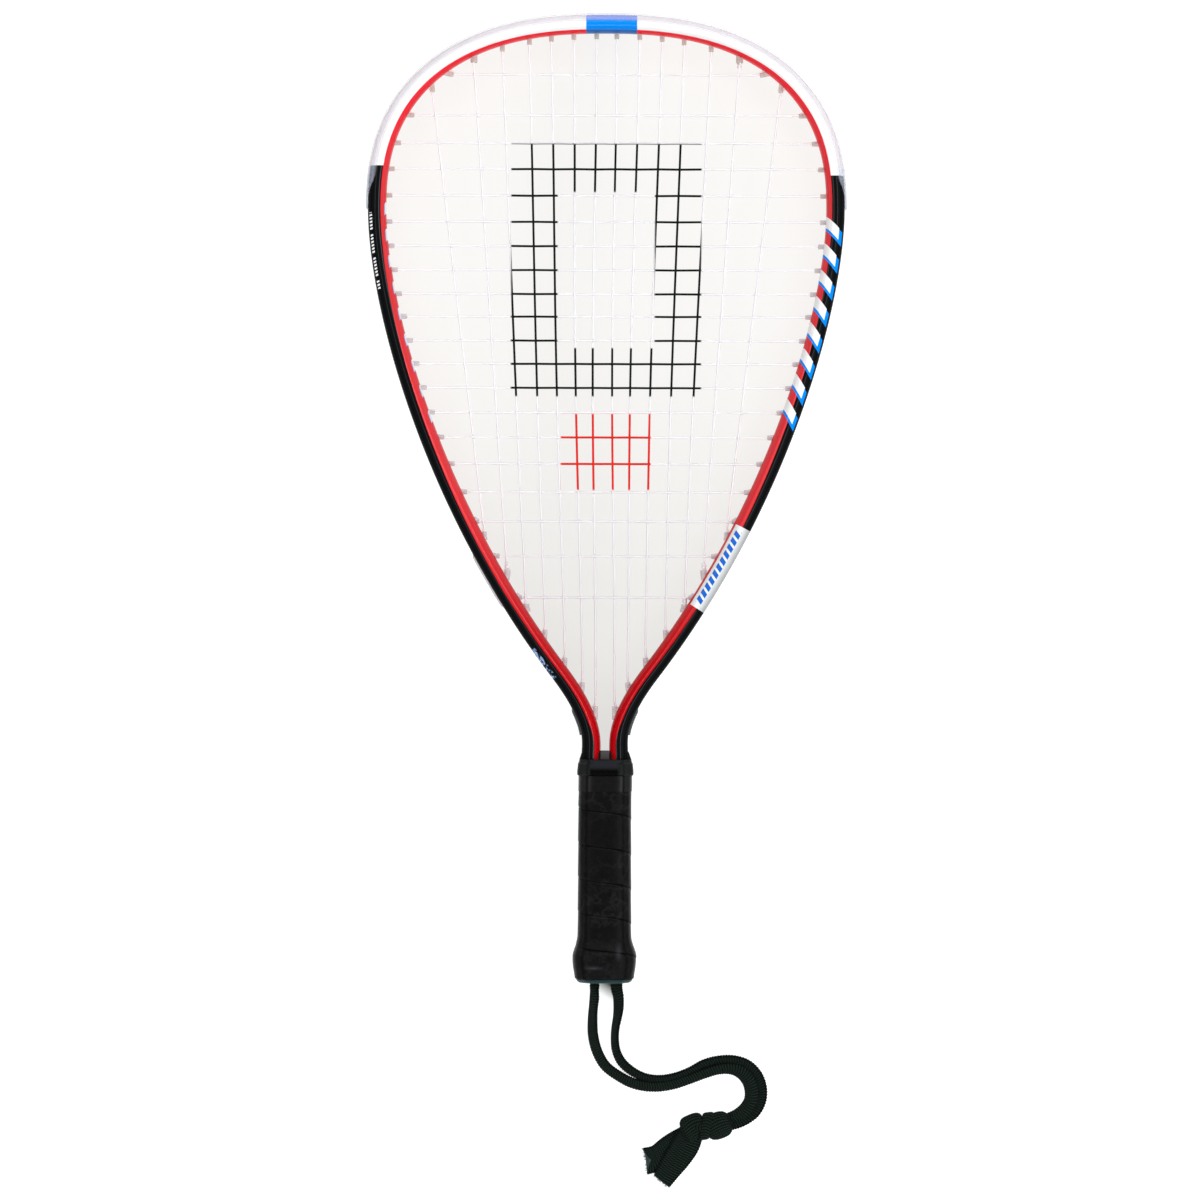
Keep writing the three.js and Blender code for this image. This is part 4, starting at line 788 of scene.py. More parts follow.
def cord_braid():
    """Ribs across the lace, each of small slanting stitches, with painted light on their crests and painted
    shade between them; its cut fibres are paler.
    """
    s = Shader("cord_braid")
    run, across, rib = s.value("lace_run"), s.value("lace_across"), s.value("lace_rib")
    stitch = s.math("SINE", across * 30.0 + run * (2 * math.pi / RIB_PITCH))
    fuzz = s.noise(2000, 3)
    # Painted light and shade: lighter on the rib crests and stitches, near black between them
    weave = rib * 1.15 - 0.2 + stitch * 0.4
    light = s.math("MULTIPLY", weave, s.number(fuzz, 0.2, 1.6), clamp=True)
    braid = s.color(light, (0.0003, 0.0006, 0.0004), (0.0145, 0.0265, 0.02))
    # Painted shade along both edges of the lace, for the dark creases where the strands lie together
    edge_shade = s.above(s.math("ABSOLUTE", across), 0.86, 0.1)
    braid = s.color(edge_shade * 0.8, braid, (0.0004, 0.0008, 0.0006))
    s.set(base_color=s.color(s.value("lace_cut"), braid, (0.1, 0.15, 0.16)))
    s.set(roughness=s.number(fuzz, 0.7, 0.95), specular_ior_level=0.06)
    s.set(sheen_weight=0.03, sheen_roughness=0.5, sheen_tint=(0.6, 0.8, 0.7, 1.0))
    s.set(normal=s.bump(stitch * 0.5 + fuzz, 0.6, 0.14))
    return s.material


def plain_finish(name, paint, dark, light, *wear_and_bumps, **rest):
    """Two colours mixed by noise, of the scale and detail in paint."""
    s = Shader(name)
    s.set(base_color=s.color(s.noise(*paint), dark, light))
    return s.finish(*wear_and_bumps, **rest)


# Frame tube

def bezier(a, b, c, d, count):
    t = np.linspace(0, 1, count + 1)[1:, None]
    return (1 - t) ** 3 * a + 3 * (1 - t) ** 2 * t * b + 3 * (1 - t) * t * t * c + t**3 * d


def half_line(count):
    """The right half of the frame's centre line, from the shaft's end to the top of the head."""
    lean = np.array([math.sin(LIMB_ANGLE), math.cos(LIMB_ANGLE)])
    up = np.array([0, 1])
    foot, shaft_top, throat, limb, widest = np.array(
        [(SHAFT_HALF, SHAFT_END), (SHAFT_HALF, SHAFT_TOP), THROAT, LIMB, (HEAD_HALF, HEAD_WIDEST)]
    )
    rise = up * (THROAT[1] - SHAFT_TOP) / 3
    throat_reach = np.linalg.norm(limb - throat) * np.array(THROAT_REACH_SHARES)
    side_reach = np.linalg.norm(widest - limb) * np.array(SIDE_REACH_SHARES)
    angle = np.linspace(0, np.pi / 2, count + 1)[1:]
    power = 2 / HEAD_ROUNDNESS
    x = HEAD_HALF * np.clip(np.cos(angle), 0, 1) ** power
    oval = np.stack([x, HEAD_WIDEST + (HEAD_TOP - HEAD_WIDEST) * np.sin(angle) ** power], -1)
    oval[-1, 0] = 0
    shaft = foot + np.linspace(0, 1, count + 1)[1:, None] * (shaft_top - foot)
    bend = bezier(shaft_top, shaft_top + rise, throat - rise, throat, count)
    fork = bezier(throat, throat + up * throat_reach[0], limb - lean * throat_reach[1], limb, count)
    side = bezier(limb, limb + lean * side_reach[0], widest - up * side_reach[1], widest, count)
    return np.vstack([[foot], shaft, bend, fork, side, oval])


def whole_line():
    right = half_line(LINE_POINTS)
    points = np.vstack([right * [-1, 1], right[:-1][::-1]])
    runs = lengths(points)
    even = np.linspace(0, runs[-1], int(runs[-1] * 2) + 1)
    line = np.stack([np.interp(even, runs, points[:, i]) for i in (0, 1)], -1)
    kernel = np.ones(2 * AHEAD_REACH + 1) / (2 * AHEAD_REACH + 1)
    padded = np.pad(np.gradient(line, axis=0), ((AHEAD_REACH, AHEAD_REACH), (0, 0)), "edge")
    ahead = np.stack([np.convolve(padded[:, i], kernel, "valid") for i in (0, 1)], -1)
    return even, line, unit(ahead)


RUNS, LINE, AHEAD = whole_line()
TOTAL = RUNS[-1]
MIDDLE = TOTAL / 2


def at(run):
    """The point, direction and outward direction at lengths along the centre line."""
    x, y, ahead_x, ahead_y = (np.interp(run, RUNS, column) for column in (*LINE.T, *AHEAD.T))
    ahead = unit(np.stack([ahead_x, ahead_y], -1))
    return np.stack([x, y], -1), ahead, np.stack([-ahead[..., 1], ahead[..., 0]], -1)


def place(run, out, z):
    """The point that far along the frame, outwards of its centre line and above the strings."""
    point, _, outwards = at(run)
    flat = point + np.asarray(out, float)[..., None] * outwards
    return np.stack([flat[..., 0], flat[..., 1], np.broadcast_to(z, flat[..., 0].shape)], -1)


def run_at(height, side):
    half = RUNS <= MIDDLE
    left = float(np.interp(height, LINE[half, 1], RUNS[half]))
    return left if side < 0 else float(TOTAL - left)


def tube_half_width(h):
    shaft = mix(TUBE_HALF_WIDTH_SHAFT, TUBE_HALF_WIDTH_THROAT, ramp(h, SHAFT_TOP, THROAT[1]))
    limb = mix(shaft, TUBE_HALF_WIDTH, ramp(h, THROAT[1], LIMB[1]))
    foot = FOOT_SWELL * (1 - ramp(h, THROAT[1], THROAT[1] + FOOT_SWELL_RUN))
    return mix(limb, TUBE_HALF_WIDTH_TOP, ramp(h, TUBE_SLIM_START, HEAD_TOP)) + foot


def tube_half_depth(h):
    return mix(TUBE_HALF_DEPTH_SHAFT, TUBE_HALF_DEPTH, ramp(h, SHAFT_TOP, THROAT[1]))


def tube_edge(h):
    return mix(tube_half_width(h), TUBE_HALF_WIDTH, ramp(h, GROOVE_START, GROOVE_FULL))


def groove_floor(h):
    return tube_edge(h) - mix(GROOVE_DEPTH_SHAFT, GROOVE_DEPTH, ramp(h, GROOVE_START, GROOVE_FULL))


def rounded(corners, cuts, steps=4):
    """Rounds closed outlines: corners are (outline, corner, 2), cuts how far each one is cut back."""
    before, after = np.roll(corners, 1, 1), np.roll(corners, -1, 1)
    points = []
    for k in range(corners.shape[1]):
        corner = corners[:, k]
        ends = []
        for other in (before[:, k], after[:, k]):
            span = np.maximum(np.linalg.norm(other - corner, axis=1), 1e-6)[:, None]
            ends.append(corner + (other - corner) / span * np.minimum(cuts[k], 0.48 * span))
        points += [curve(ends[0], corner, ends[1], i / steps) for i in range(steps + 1)]
    return np.stack(points, 1)


def corners_of(pairs, count):
    """Corners given as pairs of out and up, each one number or one for each outline."""
    return np.stack([np.stack([np.broadcast_to(v, count) for v in pair], -1) for pair in pairs], 1)


def mirrored(corners):
    """The mirror image of an outline's corners, in the reverse order."""
    return corners[:, ::-1] * [1, -1]


def whole_outline(upper, count):
    upper = corners_of(upper, count)
    return np.concatenate([upper, mirrored(upper)], 1)


def on_frame(outline, run):
    """Puts outlines of out and up, one for each run, round the centre line."""
    return np.stack([place(run, outline[:, k, 0], outline[:, k, 1]) for k in range(outline.shape[1])], 1)


def frame_runs(first, last, step):
    runs = np.linspace(first, last, int(abs(last - first) / step) + 1)
    return runs, at(runs)[0][:, 1]


def add_frame():
    runs, h = frame_runs(0, TOTAL, FRAME_STEP)
    w, d, e = tube_half_width(h), tube_half_depth(h), tube_edge(h)
    upper = [(-w, 0.3 * d), (-0.76 * w, 0.77 * d), (-0.27 * w, 0.985 * d), (0.16 * w, d)]
    upper += [(TUBE_SHOULDER[0] * e, TUBE_SHOULDER[1] * d), (e, TUBE_SIDE_SHARE * d)]
    upper += [(e, GROOVE_HALF), (groove_floor(h), GROOVE_HALF)]
    outline = rounded(whole_outline(upper, len(h)), TUBE_CUTS + TUBE_CUTS[::-1])
    rings = on_frame(outline, runs)
    out = outline[..., 0]
    edge = np.interp(h, *zip(*RED_EDGES))[:, None]
    white_foot = np.where(runs < MIDDLE, *WHITE_FEET)[:, None]
    parts = Parts()
    parts.rings(
        rings,
        out=out,
        run=np.broadcast_to(runs[:, None], out.shape),
        face=outline[..., 1],
        red_edge=edge - out,
        inner_wall=-0.72 * w[:, None] - out,
        white_edge=rings[..., 1] - white_foot,
    )
    return parts.object("frame_shell", LACQUER, "frame_tube")


def bumper_corners(h):
    """The bumper's section: it comes in over the frame's faces, less and less towards its ends."""
    d = tube_half_depth(h)
    e = TUBE_HALF_WIDTH
    t = BUMPER_THICKNESS
    web = GROOVE_HALF - GAP
    share = ramp(h, LIP_START, LIP_FULL)
    near, far = np.clip(share * 2, 0, 1), np.clip(share * 2 - 1, 0, 1)

    def slide(side, turn, lip):
        return tuple(mix(mix(side[i], turn[i], near), lip[i], far) for i in (0, 1))

    side_in = (e + SKIN_GAP, TUBE_SIDE_SHARE * d)
    turn_in = (TUBE_SHOULDER[0] * e + SKIN_GAP, TUBE_SHOULDER[1] * d + SKIN_GAP)
    lip_in = (e - BUMPER_LAP, 0.94 * d + SKIN_GAP)
    side_out, turn_out = (e + t, 0.6 * d + t / 2), (0.75 * e + t / 2, 0.87 * d + t)
    lip_out = (e - BUMPER_LAP + t / 2, 0.94 * d + t)
    upper = [slide(side_in, turn_in, lip_in), slide(side_out, turn_out, lip_out)]
    upper += [slide(side_out, turn_out, turn_out), side_out, (e + t, web - STRIP_THICKNESS)]
    upper += [(STRIP_FOOT + STRIP_THICKNESS, web - STRIP_THICKNESS)]
    under = [(STRIP_FOOT, web), (e + SKIN_GAP, web), side_in, slide(side_in, turn_in, turn_in)]
    upper, under = corners_of(upper, len(h)), corners_of(under, len(h))
    return np.concatenate([upper, mirrored(upper), mirrored(under), under], 1)


def add_bumper(holes):
    runs, h = frame_runs(run_at(BUMPER_END, -1), run_at(BUMPER_END, 1), BUMPER_STEP)
    outline = rounded(bumper_corners(h), BUMPER_CUTS, 2)
    parts = Parts()
    parts.rings(on_frame(outline, runs), out=outline[..., 0])
    for hole in holes:
        add_barrel(parts, hole)
    return parts.object("bumper", BUMPER, "bumper_guard")


# String holes and barrels

def hole_at(run, string_way, reach, tie):
    """Where its string lies in the groove, its barrel's tip and entry, and the string's way inwards."""
    point, ahead, out = at(run)
    lean = string_way @ ahead / (string_way @ out) * HOLE_LEAN_SHARE
    inner = -float(tube_half_width(point[1]))
    entry = point + out * inner
    channel_run = run + lean * (STRING_LEVEL - inner)
    way = unit(place(channel_run, STRING_LEVEL, 0.0)[:2] - entry)
    return {"run": channel_run, "tip": entry - way * reach, "entry": entry, "way": -string_way, "tie": tie}


def find_hole(first, last, string_way, reach, axis, goal, tie=False):
    """The pair of holes, left and right, whose left barrel's tip is at this place across or up."""
    def miss(run):
        return np.sign(hole_at(run, string_way, reach, tie)["tip"][axis] - goal)

    sign = miss(first)
    for _ in range(30):
        middle = (first + last) / 2
        if miss(middle) == sign:
            first = middle
        else:
            last = middle
    left = hole_at((first + last) / 2, string_way, reach, tie)
    right = {**left, "run": TOTAL - left["run"]}
    right.update({key: left[key] * [-1, 1] for key in ("tip", "entry", "way")})
    return {-1: left, 1: right}


def find_holes():
    throat, widest = run_at(THROAT[1], -1), run_at(HEAD_WIDEST, -1)
    up, leftwards = np.array([0, 1.0]), np.array([-1.0, 0])
    tops, feet, crosses = [], [], []
    for i, share in enumerate(MAIN_TOP_SHARES):
        tops.append(find_hole(widest, MIDDLE, up, BARREL_REACH, 0, -share * HEAD_HALF, i == TIE_MAIN_INDEX))
    for i, share in enumerate(MAIN_FOOT_SHARES):
        reach = BARREL_REACH_SHORT if i in SHORT_MAIN_INDEXES else BARREL_REACH_LOW
        tie = i in (TIE_MAIN_INDEX, TIE_CROSS_INDEX)
        feet.append(find_hole(throat, widest, -up, reach, 0, -share * HEAD_HALF, tie))
    for i, height in enumerate(CROSS_HEIGHTS):
        plain_reach = mix(BARREL_REACH_LOW, BARREL_REACH, ramp(height, LOW_CROSS, HIGH_CROSS))
        reach = BARREL_REACH_SHORT if i in SHORT_CROSS_INDEXES else plain_reach
        crosses.append(find_hole(throat, MIDDLE, leftwards, reach, 1, height))
    return tops, feet, crosses


def add_barrel(parts, hole):
    """A grommet's barrel: it stands inside the hoop, bent to its string, with a rounded mouth."""
    radius, bore = (BARREL_RADIUS_TIE, BARREL_BORE_TIE) if hole["tie"] else (BARREL_RADIUS, BARREL_BORE)
    tip, entry, into = (np.append(hole[key], 0) for key in ("tip", "entry", "way"))
    along = np.append(at(hole["run"])[1], 0)
    slide = BARREL_SLIDE_LAST if tip[1] < LAST_BARREL_TOP else BARREL_SLIDE
    entry = entry - along * (into @ along) * slide
    reach = np.linalg.norm(tip - entry)
    bend = tip - into * reach * 0.5
    start = entry - unit(bend - entry) * BARREL_IN_WALL
    outer = curve(tip, bend, entry, np.linspace(0, 1, BARREL_STEPS)[:, None])
    mouth = [tip - into * back for back in (min(BARREL_INSIDE, reach), 0.4, 0.1, 0.0)]
    path = np.vstack([*mouth, outer, start])
    widths = [bore, bore, bore + 0.12, (bore + radius) / 2]
    widths += [radius - 0.15, radius] + [radius * 1.02] * 6 + [radius * 1.08] * 2
    ways = np.vstack([[-into] * 4, directions(np.vstack([outer, start]))])
    side = np.stack([-ways[:, 1], ways[:, 0], np.zeros(len(ways))], -1)
    angle = circle(BARREL_SIDES)[None, :, None]
    spokes = np.cos(angle) * side[:, None, :] + np.sin(angle) * UP
    parts.rings(path[:, None, :] + np.array(widths)[:, None, None] * spokes, out=BARREL_MARK)


def add_strip(side, holes):
    runs, h = frame_runs(run_at(STRIP_FOOT_HEIGHT, side), run_at(BUMPER_END - 1.5, side), STRIP_STEP)
    proud = np.zeros_like(h)
    for low, high in STRIP_BULGES[side]:
        share = ramp(h, low, low + BULGE_RUN_IN) * (1 - ramp(h, high - BULGE_RUN_IN, high))
        proud = np.maximum(proud, BULGE * share)
    half = GROOVE_HALF - GAP
    outer = STRIP_FOOT + STRIP_THICKNESS + proud
    outline = whole_outline([(STRIP_FOOT, half), (outer - 0.3, half), (outer, half * 0.6)], len(h))
    parts = Parts()
    parts.rings(on_frame(rounded(outline, STRIP_CUTS, 2), runs), out=0.0)
    for hole in holes:
        add_barrel(parts, hole)
    word = "left" if side < 0 else "right"
    return parts.object("grommets_" + word, GROMMET, "grommet_strip_" + word)


# Strings

def channel_run(first, last, lane, z_first, z_last):
    """Along the groove outside the frame, from one hole to the next."""
    way = np.sign(last["run"] - first["run"])
    a, b = first["run"] + way * CHANNEL_LEAD, last["run"] - way * CHANNEL_LEAD
    runs = np.linspace(a, b, max(int(abs(b - a) / CHANNEL_STEP), 1) + 1)
    middle = place(runs, np.full_like(runs, STRING_LEVEL), lane)
    return [place(first["run"], STRING_LEVEL, z_first), *middle, place(last["run"], STRING_LEVEL, z_last)]


def string_tip(hole, z):
    return np.append(hole["tip"] + hole["way"] * TIP_OVERLAP, z)


def tie_off(hole, z):
    """The string's end just inside a shared hole, and the knot there."""
    start = string_tip(hole, z)
    return [start, start + np.append(hole["way"], 0) * KNOT_REACH]


def find_crossings(tops, feet, crosses, offset):
    """Where mains and crosses meet: the row, the main, its side, the point and which one is over."""
    met = []
    for row, height in enumerate(CROSS_HEIGHTS):
        for i, side in [(i, side) for i in range(len(tops)) for side in (-1, 1)]:
            top, foot = tops[i][side], feet[i][side]
            if not foot["tip"][1] < height < top["tip"][1]:
                continue
            share = (height - foot["tip"][1]) / (top["tip"][1] - foot["tip"][1])
            x = mix(foot["tip"][0], top["tip"][0], share)
            # Mains near the middle of the bed lie a little to the left half way up
            rise = np.clip((height - SAG_FOOT) / (SAG_TOP - SAG_FOOT), 0, 1)
            held = np.clip(share * SAG_FADE, 0, 1) * np.clip((1 - share) * SAG_FADE, 0, 1)
            drift = -SAG * np.sin(np.pi * rise) ** 2 * held
            z = mix(offset(foot), offset(top), share)
            point = np.array([x + drift * max(0.0, 1 - abs(x) / SAG_HALF_WIDTH), height, z])
            if abs(point[0]) < abs(crosses[row][side]["tip"][0]):
                order = i if side < 0 else i + 1
                met.append((row, i, side, point, 1 if (order + row) % 2 == 0 else -1))
    return met


def add_strings(tops, feet, crosses):
    def offset(hole):
        """How far above or below the strings' plane the main string leaves a shared hole."""
        if not hole["tie"]:
            return 0.0
        return -PAIR if any(hole is foot for foot in feet[TIE_MAIN_INDEX].values()) else PAIR

    met = find_crossings(tops, feet, crosses, offset)

    def main_half(side):
        points = []
        for i in range(len(tops)):
            a, b = (feet[i][side], tops[i][side]) if i % 2 else (tops[i][side], feet[i][side])
            inner = [point + [0, 0, -sign * MAIN_WAVE] for _, k, s, point, sign in met if (k, s) == (i, side)]
            inner.sort(key=lambda p: p[1], reverse=i % 2 == 0)
            points += [string_tip(a, offset(a)), *inner, string_tip(b, offset(b))]
            if i + 1 < len(tops):
                c = tops[i + 1][side] if i % 2 else feet[i + 1][side]
                points += channel_run(b, c, LANE, offset(b), offset(c))
        tie = feet[TIE_MAIN_INDEX][side]
        return points + channel_run(feet[-1][side], tie, LANE, 0, PAIR) + tie_off(tie, PAIR)

    left, right = main_half(-1), main_half(1)
    main = left[::-1] + channel_run(tops[0][-1], tops[0][1], LANE, 0, 0) + right
    hole, z = tops[TIE_MAIN_INDEX][1], -PAIR
    cross = tie_off(hole, z)[::-1]
    for row, ends in enumerate(crosses):
        near, far = (ends[1], ends[-1]) if row % 2 == 0 else (ends[-1], ends[1])
        inner = [point + [0, 0, sign * CROSS_WAVE] for k, _, _, point, sign in met if k == row]
        inner.sort(key=lambda p: p[0], reverse=row % 2 == 0)
        cross += channel_run(hole, near, -LANE, z, 0) + [string_tip(near, 0), *inner, string_tip(far, 0)]
        hole, z = far, 0
    end_hole = feet[TIE_CROSS_INDEX][1]
    cross += channel_run(hole, end_hole, -LANE, 0, -PAIR) + tie_off(end_hole, -PAIR)

    for name, route, node in (("mains", main, "main_string"), ("crosses", cross, "cross_string")):
        parts = Parts()
        parts.rings(swept(string_path(route), STRING_RADIUS, STRING_SIDES))
        for knot in (route[0], route[-1]):
            add_string_knot(parts, knot)
        parts.object(name, STRING, node)


def string_path(route):
    """Rounds a string's route: waves between its crossings, and short bends at the frame."""
    route = np.array(route)
    route = route[np.concatenate([[True], np.linalg.norm(np.diff(route, axis=0), axis=1) > 0.05])]
    made = [route[0]]
    for before, here, after in zip(route, route[1:], route[2:]):
        a, b = np.linalg.norm(here - before), np.linalg.norm(after - here)
        start = here + (before - here) / a * min(BEND_SHARE * a, BEND_MOST)
        end = here + (after - here) / b * min(BEND_SHARE * b, BEND_MOST)
        made += [curve(start, here, end, t) for t in (0, 0.33, 0.67, 1)]
    return np.array(made + [route[-1]])


def swept(path, radius, sides):
    """A round tube along any path, each ring the last one carried on, so that it never twists."""
    ahead = directions(path)
    side = unit(np.cross(ahead[0], UP))
    angle = circle(sides)[:, None]
    rings = []
    for point, way in zip(path, ahead):
        side = unit(side - way * (side @ way))
        rings.append(point + radius * (np.cos(angle) * side + np.sin(angle) * np.cross(side, way)))
    return np.array(rings)


def add_string_knot(parts, centre):
    """A half hitch pulled tight against its grommet: a few turns of string on a slant."""
    t = np.linspace(0, 1, 60)
    angle = 2 * np.pi * KNOT_TURNS * t
    slant = (t - 0.5) * KNOT_LENGTH + 0.35 * np.sin(angle * 0.5)
    path = centre + np.stack([KNOT_RADIUS * np.cos(angle), slant, KNOT_RADIUS * np.sin(angle)], -1)
    parts.rings(swept(path, KNOT_STRING_RADIUS, 8))


# Handle

def octagon_weights(count, cut):
    """How much each corner of an octagon counts in each point round its rounded outline."""
    weights = np.zeros((count, 8))
    for j in range(count):
        position = j * 8 / count
        k = int(position)
        t = position - k
        if cut <= t <= 1 - cut:
            weights[j, k] += 1 - t
            weights[j, (k + 1) % 8] += t
            continue
        u, corner = (0.5 + 0.5 * t / cut, k) if t < cut else (0.5 * (t - 1 + cut) / cut, k + 1)
        a, b, c = (1 - u) ** 2, 2 * u * (1 - u), u * u
        weights[j, (corner - 1) % 8] += a * cut
        weights[j, corner % 8] += a * (1 - cut) + b + c * (1 - cut)
        weights[j, (corner + 1) % 8] += c * cut
    return weights


def octagon_corners(width, depth):
    """An octagon's corners for these half sizes, in the order front right, then leftwards."""
    cut = CORNER_SHARE * min(width, depth)
    pairs = [(width, cut - depth), (width, depth - cut), (width - cut, depth), (cut - width, depth)]
    return np.array(pairs + [(-x, -y) for x, y in pairs])


def seat_halves(height):
    """Half the width and depth of what the tape lies on."""
    if height < CAP_FLARE_FOOT:
        return CAP_HALVES * mix(CAP_SEAT_SHARE, 1, ramp(height, CAP_RIM, CAP_FLARE_FOOT))
    return mix(CAP_HALVES, PALLET_HALVES, ramp(height, CAP_FLARE_TOP, CAP_TOP))


def lean_at(height):
    """The collar and the end of the tape sit a little to the right."""
    return COLLAR_SHIFT * ramp(height, TAPE_TOP - 20, TAPE_TOP)


def octagon_ring(height, width, depth, weights):
    flat = weights @ octagon_corners(width, depth)
    return np.stack([flat[:, 0] + lean_at(height), np.full(len(flat), float(height)), flat[:, 1]], -1)


def seam_height(turn):
    """The ribbon's lower edge after so many turns; the turns widen a little towards the top."""
    sway = 0.9 * math.cos(2 * math.pi * turn) - 0.7 * math.sin(2 * math.pi * turn)
    wobble = 0.14 * math.sin(turn * 5.1 + 1) + 0.1 * math.sin(turn * 11.7)
    return SEAM_HEIGHT - 0.9 + turn * TAPE_PITCH + SEAM_CREEP * max(turn, 0) ** 2 + sway + wobble


def tape_profile():
    """The ribbon's section: share of its width, and how far out from the handle."""
    top = TAPE_THICKNESS
    outer = [(0.0, 0.3), (0.0, top - 0.25), (0.008, top - 0.06), (0.03, top)]
    outer += [(u, top - (TAPE_LIFT - 0.1) * u) for u in np.linspace(0.1, 0.93, TAPE_ACROSS)]
    outer += [(0.985, top - TAPE_LIFT), (1.0, top - TAPE_LIFT - 0.3), (1.0, 0.3)]
    return outer + [(u, 0.0) for u in (0.97, 0.5, 0.03)]


def add_tape():
    """The grip's ribbon, wound up the handle, each turn's lower edge lapped over the turn below."""
    weights = octagon_weights(TAPE_ROUND, 0.34)
    first = math.floor((TAPE_FOOT - SEAM_HEIGHT) / TAPE_PITCH) - 1
    count = math.ceil((TAPE_TOP - TAPE_FOOT) / TAPE_PITCH) + 2
    rings = []
    for step in range(count * TAPE_ROUND):
        turn = first + step / TAPE_ROUND - SEAM_SHARE
        low = max(seam_height(turn), TAPE_FOOT)
        high = min(seam_height(turn + 1) - 0.1, TAPE_TOP)
        if high - low < TAPE_LEAST:
            continue
        ring = []
        for u, out in tape_profile():
            height = mix(low, high, u)
            seat = max(height - TAPE_BRIDGE, CAP_FLARE_TOP) if height > CAP_FLARE_TOP else height
            grow = GAP + out + np.interp(height, *zip(*TAPE_FULLNESS)) * (out > 0.5)
            x, z = weights[step % TAPE_ROUND] @ octagon_corners(*(seat_halves(seat) + grow))
            ring.append((x + float(lean_at(height)), height, z))
        rings.append(ring)
    parts = Parts()
    parts.rings(rings)
    return parts.object("grip_ribbon", GRIP, "grip_tape")


def add_octagon(name, material, node, levels, cut):
    """A piece stacked up from octagons: levels are height, half width and half depth."""
    weights = octagon_weights(ROUND, cut)
    parts = Parts()
    parts.rings([octagon_ring(h, w, d, weights) for h, w, d in levels])
    return parts.object(name, material, node, flat_angle=40)


def add_cap():
    levels = [*CAP_EDGE, *((h, *seat_halves(h)) for h in CAP_HEIGHTS)]
    return add_octagon("butt_cap_shell", CAP, "butt_cap", levels, 0.3)


def add_band():
    outer = PALLET_HALVES + (GAP + TAPE_THICKNESS + GAP + BAND_OVER_TAPE)
    inner = outer - BAND_THICKNESS
    levels = [(BAND_FOOT, *inner), (BAND_FOOT, *outer), (BAND_TOP, *outer), (BAND_TOP, *inner)]
    return add_octagon("finishing_band", FILM, "finishing_tape", levels, 0.26)


def add_collar():
    weights = octagon_weights(ROUND, 0.16)
    rings, panel = [], []
    for share, scale in COLLAR_LEVELS:
        ring = octagon_ring(mix(COLLAR_FOOT, COLLAR_TOP, share), *(COLLAR_HALVES * scale), weights)
        if share >= COLLAR_FACE_FOOT:
            ring[:, 2] = np.clip(ring[:, 2], -COLLAR_FACE_HALF_DEPTH, COLLAR_FACE_HALF_DEPTH)
        rings.append(ring)
        on_face = np.abs(ring[:, 0]) < 0.5 * COLLAR_HALVES[0]
        # The strip under the front panel, marked -1, gets a painted shadow
        notch = on_face & (ring[:, 2] > 0) & (0 < share < COLLAR_SHADOW_TOP)
        # The front panel, marked 1, gets a painted reflection
        panel.append((on_face & (COLLAR_PANEL[0] < share < COLLAR_PANEL[1])).astype(float) - notch)
    parts = Parts()
    parts.rings(rings, panel=panel)
    return parts.object("collar_shell", COLLAR, "throat_collar", flat_angle=35)


def add_yoke():
    corners = np.array([[(1, -1), (1, 1), (-1, 1), (-1, -1)]]) * YOKE_HALVES
    outline = rounded(corners, (0.5,) * 4)[0]
    rings = []
    for height, shrink in ((COLLAR_FOOT, 0), (YOKE_TOP - 0.5, 0), (YOKE_TOP - 0.15, 0.15), (YOKE_TOP, 0.5)):
        ring = outline * (1 - shrink / YOKE_HALVES)
        rings.append(np.insert(ring, 1, height, axis=1))
    parts = Parts()
    parts.rings(rings)
    return parts.object("yoke_block", YOKE, "throat_yoke")


# Knot and tails

def add_wrap(parts, pixel, height, degrees, across, rise, width, thickness, skew):
    """A turn of the lace round the others: a loop of given half sizes about a level axis."""
    angle = circle(KNOT_LOOP_POINTS)[:, None]
    ahead, aside = level_way(math.radians(degrees))
    path = (
        np.array(seen(*pixel, FLOOR + height))
        + across * np.cos(angle) * aside
        + rise * np.sin(angle) * UP
        + skew * np.cos(angle) * ahead
    )
    way = unit(np.roll(path, -1, 0) - np.roll(path, 1, 0))
    side = unit(ahead - way * (way @ ahead)[:, None])
    run = lengths(path)
    run = run * (RIB_PITCH * round(run[-1] / RIB_PITCH) / (run[-1] + np.linalg.norm(path[0] - path[-1])))
    ones = np.ones(len(path))
    rings, marks = lace_rings(path, side, np.cross(side, way), width * ones, thickness * ones, run)
    parts.rings(rings, loop=True, **marks)


def add_lobe(parts, pixel, height, degrees, sizes, squareness):
    """A rounded turn of the knot, with the lace wound round its length."""
    ahead, aside = level_way(math.radians(degrees))
    share = np.sin(np.linspace(-0.5, 0.5, LOBE_ROWS) * np.pi * 0.998)[:, None]
    turn = circle(KNOT_LOOP_POINTS)
    fullness = (1 - np.abs(share) ** squareness) ** (1 / squareness)
    count = round(2 * np.pi * (sizes[1] + sizes[2]) / 2 / RIB_PITCH)
    phase = turn * count / (2 * np.pi) + 0.9 * share**2 + 0.5 * share
    rib = 0.5 + 0.5 * np.cos(2 * np.pi * phase)
    fold = 0.5 * np.cos(turn * 2 + 1.0) * (1 - share**2)
    swell = RIB_HEIGHT * (rib - 0.5) * fullness
    across = (sizes[1] + fold) * fullness + swell
    up = (sizes[2] + fold * 0.5) * fullness + swell
    rings = (
        np.array(seen(*pixel, FLOOR + height))
        + (share * sizes[0])[..., None] * ahead
        + (across * np.cos(turn))[..., None] * aside
        + (up * np.sin(turn))[..., None] * UP
    )
    rings[..., 2] = np.maximum(rings[..., 2], FLOOR + 0.05)
    parts.rings(rings, lace_run=phase * RIB_PITCH, lace_across=share * np.ones(len(turn)), lace_rib=rib)


